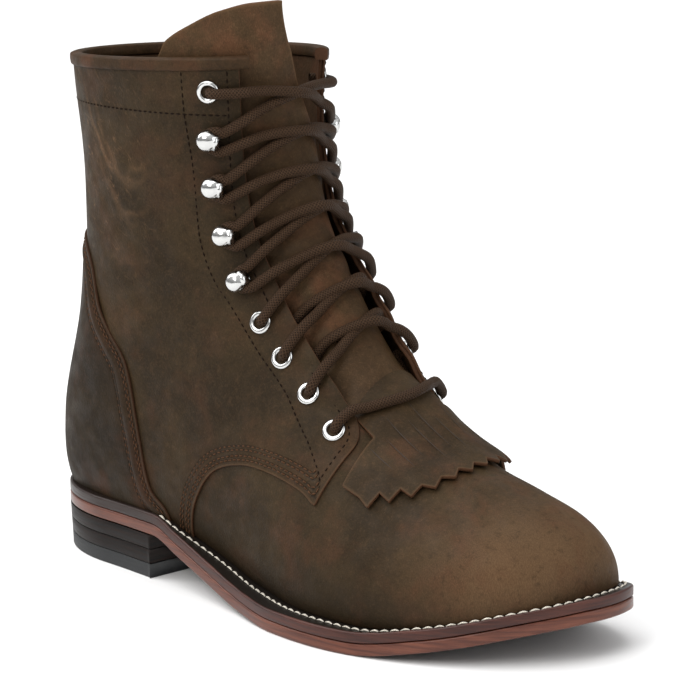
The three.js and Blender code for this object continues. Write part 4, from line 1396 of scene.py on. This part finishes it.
def layer(name, to, count, low, high, profile, material, slot, replaces, low_face=0.0, high_face=1.0):
    """Layer of the sole between two heights, closed above and below."""
    rings, face = [], []
    for inset, top, away in profile:
        loop = sole_loop(to, count, inset)
        share = np.clip(to_share(loop[:, 0]), 0, 1)
        z = high(share) - away if top else low(share) + away
        rings.append(np.column_stack([loop, z]))
        face.append(np.zeros(len(loop)))
    size = len(rings[0])
    points = np.vstack(rings)
    quads = wrapped(len(rings), size)
    run = np.concatenate([[0], np.cumsum(np.linalg.norm(np.diff(rings[0], axis=0), axis=1))])
    along = np.tile(run, len(rings))
    caps, extra_points, extra_along, extra_face = [], [], [], []
    for ring, value in ((0, low_face), (len(rings) - 1, high_face)):
        start = len(points) + sum(map(len, extra_points))
        extra_points.append(rings[ring])
        extra_along.append(run)
        extra_face.append(np.full(size, value))
        half = size // 2
        for a in range(half):
            b = (size - 1 - a) if to < 1 else (size - a) % size
            c = (size - 2 - a) if to < 1 else size - 1 - a
            loop = [start + a, start + a + 1, start + c, start + b]
            loop = list(dict.fromkeys(loop))
            if len(loop) > 2:
                caps.append(loop)
    points = np.vstack([points, *extra_points])
    values = {"along": np.concatenate([along, *extra_along]), "face": np.concatenate([*face, *extra_face])}
    made = make(name, points, quads.tolist() + caps, material, replaces, values)
    return recalculated(made)


def flat_at(height):
    """A height that is the same all along the sole."""
    return lambda share: np.full(np.shape(share), height)


layer(
    "outsole_layer", 1, 150, under_at, lambda x: under_at(x) + OUTSOLE,
    corner(0, 0.9, False) + corner(0, 0.9, True), outsole_look, "sole", ("outsole",), 1.0, 0.0,
)
layer(
    "welt_layer", 1, 150, lambda x: under_at(x) + OUTSOLE + GAP, welt_top,
    corner(0, 0.5, False) + corner(0, 0.9, True), welt_look, "welt", ("welt",),
)
lift = (HEEL_HEIGHT - CAP - 3 * GAP) / 2
for name, low, high, look, slot in (
    ("heel_cap", 0.0, CAP, cap_rubber, "rubber"),
    ("heel_lift_low", CAP + GAP, CAP + GAP + lift, lift_look, "heel"),
    ("heel_lift_high", CAP + 2 * GAP + lift, HEEL_HEIGHT - GAP, lift_look, "heel"),
):
    below, above = [HEEL_INSET * (HEEL_HEIGHT - z) / HEEL_HEIGHT for z in (low, high)]
    profile = [(below + 0.1, False, 0), (below, False, 0.1), (above, True, 0.06), (above + 0.06, True, 0)]
    layer(f"{name}_layer", HEEL_SHARE, 90, flat_at(low), flat_at(high), profile, look, slot, (name,))


STITCH_AWAY, STITCH_INSET = 2.3, 2.0  # from the upper, and at least from the welt's edge
WELT_PITCH = 4.7


def welt_stitching():
    """Stitches on the welt beside the upper, from the waist round the toe and back."""
    places, faces = grid(0, 10.4, 160, 0, 2 * np.pi, 240)
    foot = contour(places, faces, above_welt(*places.T, skin(*places.T)), 0.8)
    base = np.vstack([surface(line[:, 0], line[:, 1], np.full(len(line), 0.9)) for line in foot])
    base = base[base[:, 0] > to_x(0.2)]
    turn = np.arctan2(base[:, 1], base[:, 0] - to_x(0.7))
    base = base[np.argsort(turn), :2]
    line = spaced(base, 1.5)
    for _ in range(6):
        line[1:-1] = (line[:-2] + 2 * line[1:-1] + line[2:]) / 4
    line = spaced(line, 1.0)
    tangent = unit(np.gradient(line, axis=0))
    line = line + np.stack([tangent[:, 1], -tangent[:, 0]], 1) * STITCH_AWAY
    share = np.clip(to_share(line[:, 0]), 0, 1)
    lateral, medial = sole_at(share)
    line[:, 1] = np.clip(line[:, 1], lateral + STITCH_INSET, medial - STITCH_INSET)
    line = line[to_share(line[:, 0]) > 0.3]
    points = np.column_stack([line, welt_top(np.clip(to_share(line[:, 0]), 0, 1)) + 0.12])
    return [(points, np.tile([0.0, 0.0, 1.0], (len(points), 1)))]


stitches("welt_stitching", welt_stitching(), WELT_PITCH, 4.0, 0.52, thread_cream)


def insole_board(name):
    """Plain tan leather."""
    look = Look(name, Roughness=0.75)
    tone = look.mix(look.noise(6, 4), (0.12, 0.07, 0.042), (0.2, 0.125, 0.078))
    return look.set(Base_Color=tone, Normal=look.bump(look.noise(0.8, 4), 0.1))


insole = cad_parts["insole"]
insole.data.materials.clear()
insole.data.materials.append(insole_board("insole_leather"))

# Floor, light and camera
FLOOR_HALF = 6.0
HORIZON, OVERHEAD = 0.22, 0.8  # strengths of the studio's light
SUN_STRENGTH, SUN_SPREAD = 2.0, math.radians(70)


def floor_look():
    look = Look("floor", Roughness=0.7)
    tone = look.mix(look.noise(160, 2), (0.86, 0.86, 0.86), (0.9, 0.9, 0.9))
    return look.set(Base_Color=tone)


def stage():
    """Pale floor, and a studio that is brighter overhead."""
    mesh = bpy.data.meshes.new("floor")
    corners = [(FLOOR_HALF * x, FLOOR_HALF * y, 0) for x, y in ((-1, -1), (1, -1), (1, 1), (-1, 1))]
    mesh.from_pydata(corners, [], [(0, 1, 2, 3)])
    floor = bpy.data.objects.new("floor", mesh)
    bpy.context.scene.collection.objects.link(floor)
    mesh.materials.append(floor_look())
    world = bpy.data.worlds.new("studio")
    bpy.context.scene.world = world
    world.use_nodes = True
    tree = world.node_tree
    background = tree.nodes["Background"]
    background.inputs["Color"].default_value = (1.0, 1.0, 1.0, 1)
    way = node(tree, "ShaderNodeTexCoord").outputs["Generated"]
    height = node(tree, "ShaderNodeSeparateXYZ", {0: way}).outputs[2]
    inputs = {"Value": height, "From Min": 0.0, "From Max": 0.7, "To Min": HORIZON, "To Max": OVERHEAD}
    glow = node(tree, "ShaderNodeMapRange", inputs)
    tree.links.new(glow.outputs[0], background.inputs["Strength"])


def soft_light(name, place, target, size, power, colour=(1, 1, 1)):
    """Round lamp that faces a target."""
    data = bpy.data.lights.new(name, "AREA")
    data.shape, data.size, data.energy, data.color = "DISK", size, power, colour
    light = bpy.data.objects.new(name, data)
    light.location = place
    light.rotation_euler = (Vector(target) - Vector(place)).to_track_quat("-Z", "Y").to_euler()
    bpy.context.scene.collection.objects.link(light)


def overhead():
    """Broad light from above that keeps the floor evenly white."""
    data = bpy.data.lights.new("overhead", "SUN")
    data.energy, data.angle = SUN_STRENGTH, SUN_SPREAD
    light = bpy.data.objects.new("overhead", data)
    light.rotation_euler = (math.radians(12), math.radians(-10), 0)
    bpy.context.scene.collection.objects.link(light)


# Camera, from the photograph: metres, degrees, and pixels of its frame
AIM = Vector((0.129136, 0.0, 0.10615))
AZIMUTH, ELEVATION, ROLL = map(math.radians, (46.619, 11.580, -0.777))
DISTANCE, FOCAL_PIXELS, PICTURE = 1.22299, 3000, 700


def camera():
    """Camera at the photograph's angle, with its rows square to the boot's own axes."""
    level = math.cos(ELEVATION)
    back = Vector((math.sin(AZIMUTH) * level, -math.cos(AZIMUTH) * level, math.sin(ELEVATION)))
    right = Vector((math.cos(AZIMUTH), math.sin(AZIMUTH), 0))
    up = back.cross(right)
    turned_right = right * math.cos(ROLL) + up * math.sin(ROLL)
    turned_up = up * math.cos(ROLL) - right * math.sin(ROLL)
    data = bpy.data.cameras.new("camera")
    data.sensor_width = 36.0
    data.lens = FOCAL_PIXELS / PICTURE * data.sensor_width
    data.clip_start, data.clip_end = 0.05, 50
    made = bpy.data.objects.new("camera", data)
    turn = Matrix((turned_right, turned_up, back)).transposed().to_4x4()
    made.matrix_world = Matrix.Translation(AIM + back * DISTANCE) @ turn
    bpy.context.scene.collection.objects.link(made)
    bpy.context.scene.camera = made


stage()
centre = (0.11, 0.0, 0.1)
soft_light("key", (0.35, -1.5, 1.15), centre, 0.9, 12, (1.0, 0.985, 0.96))
soft_light("fill", (1.6, 0.5, 0.7), centre, 1.2, 6, (0.96, 0.98, 1.0))
soft_light("back", (-1.1, -0.6, 1.0), centre, 0.9, 6)
overhead()
camera()
bpy.context.scene.view_settings.view_transform = "Standard"
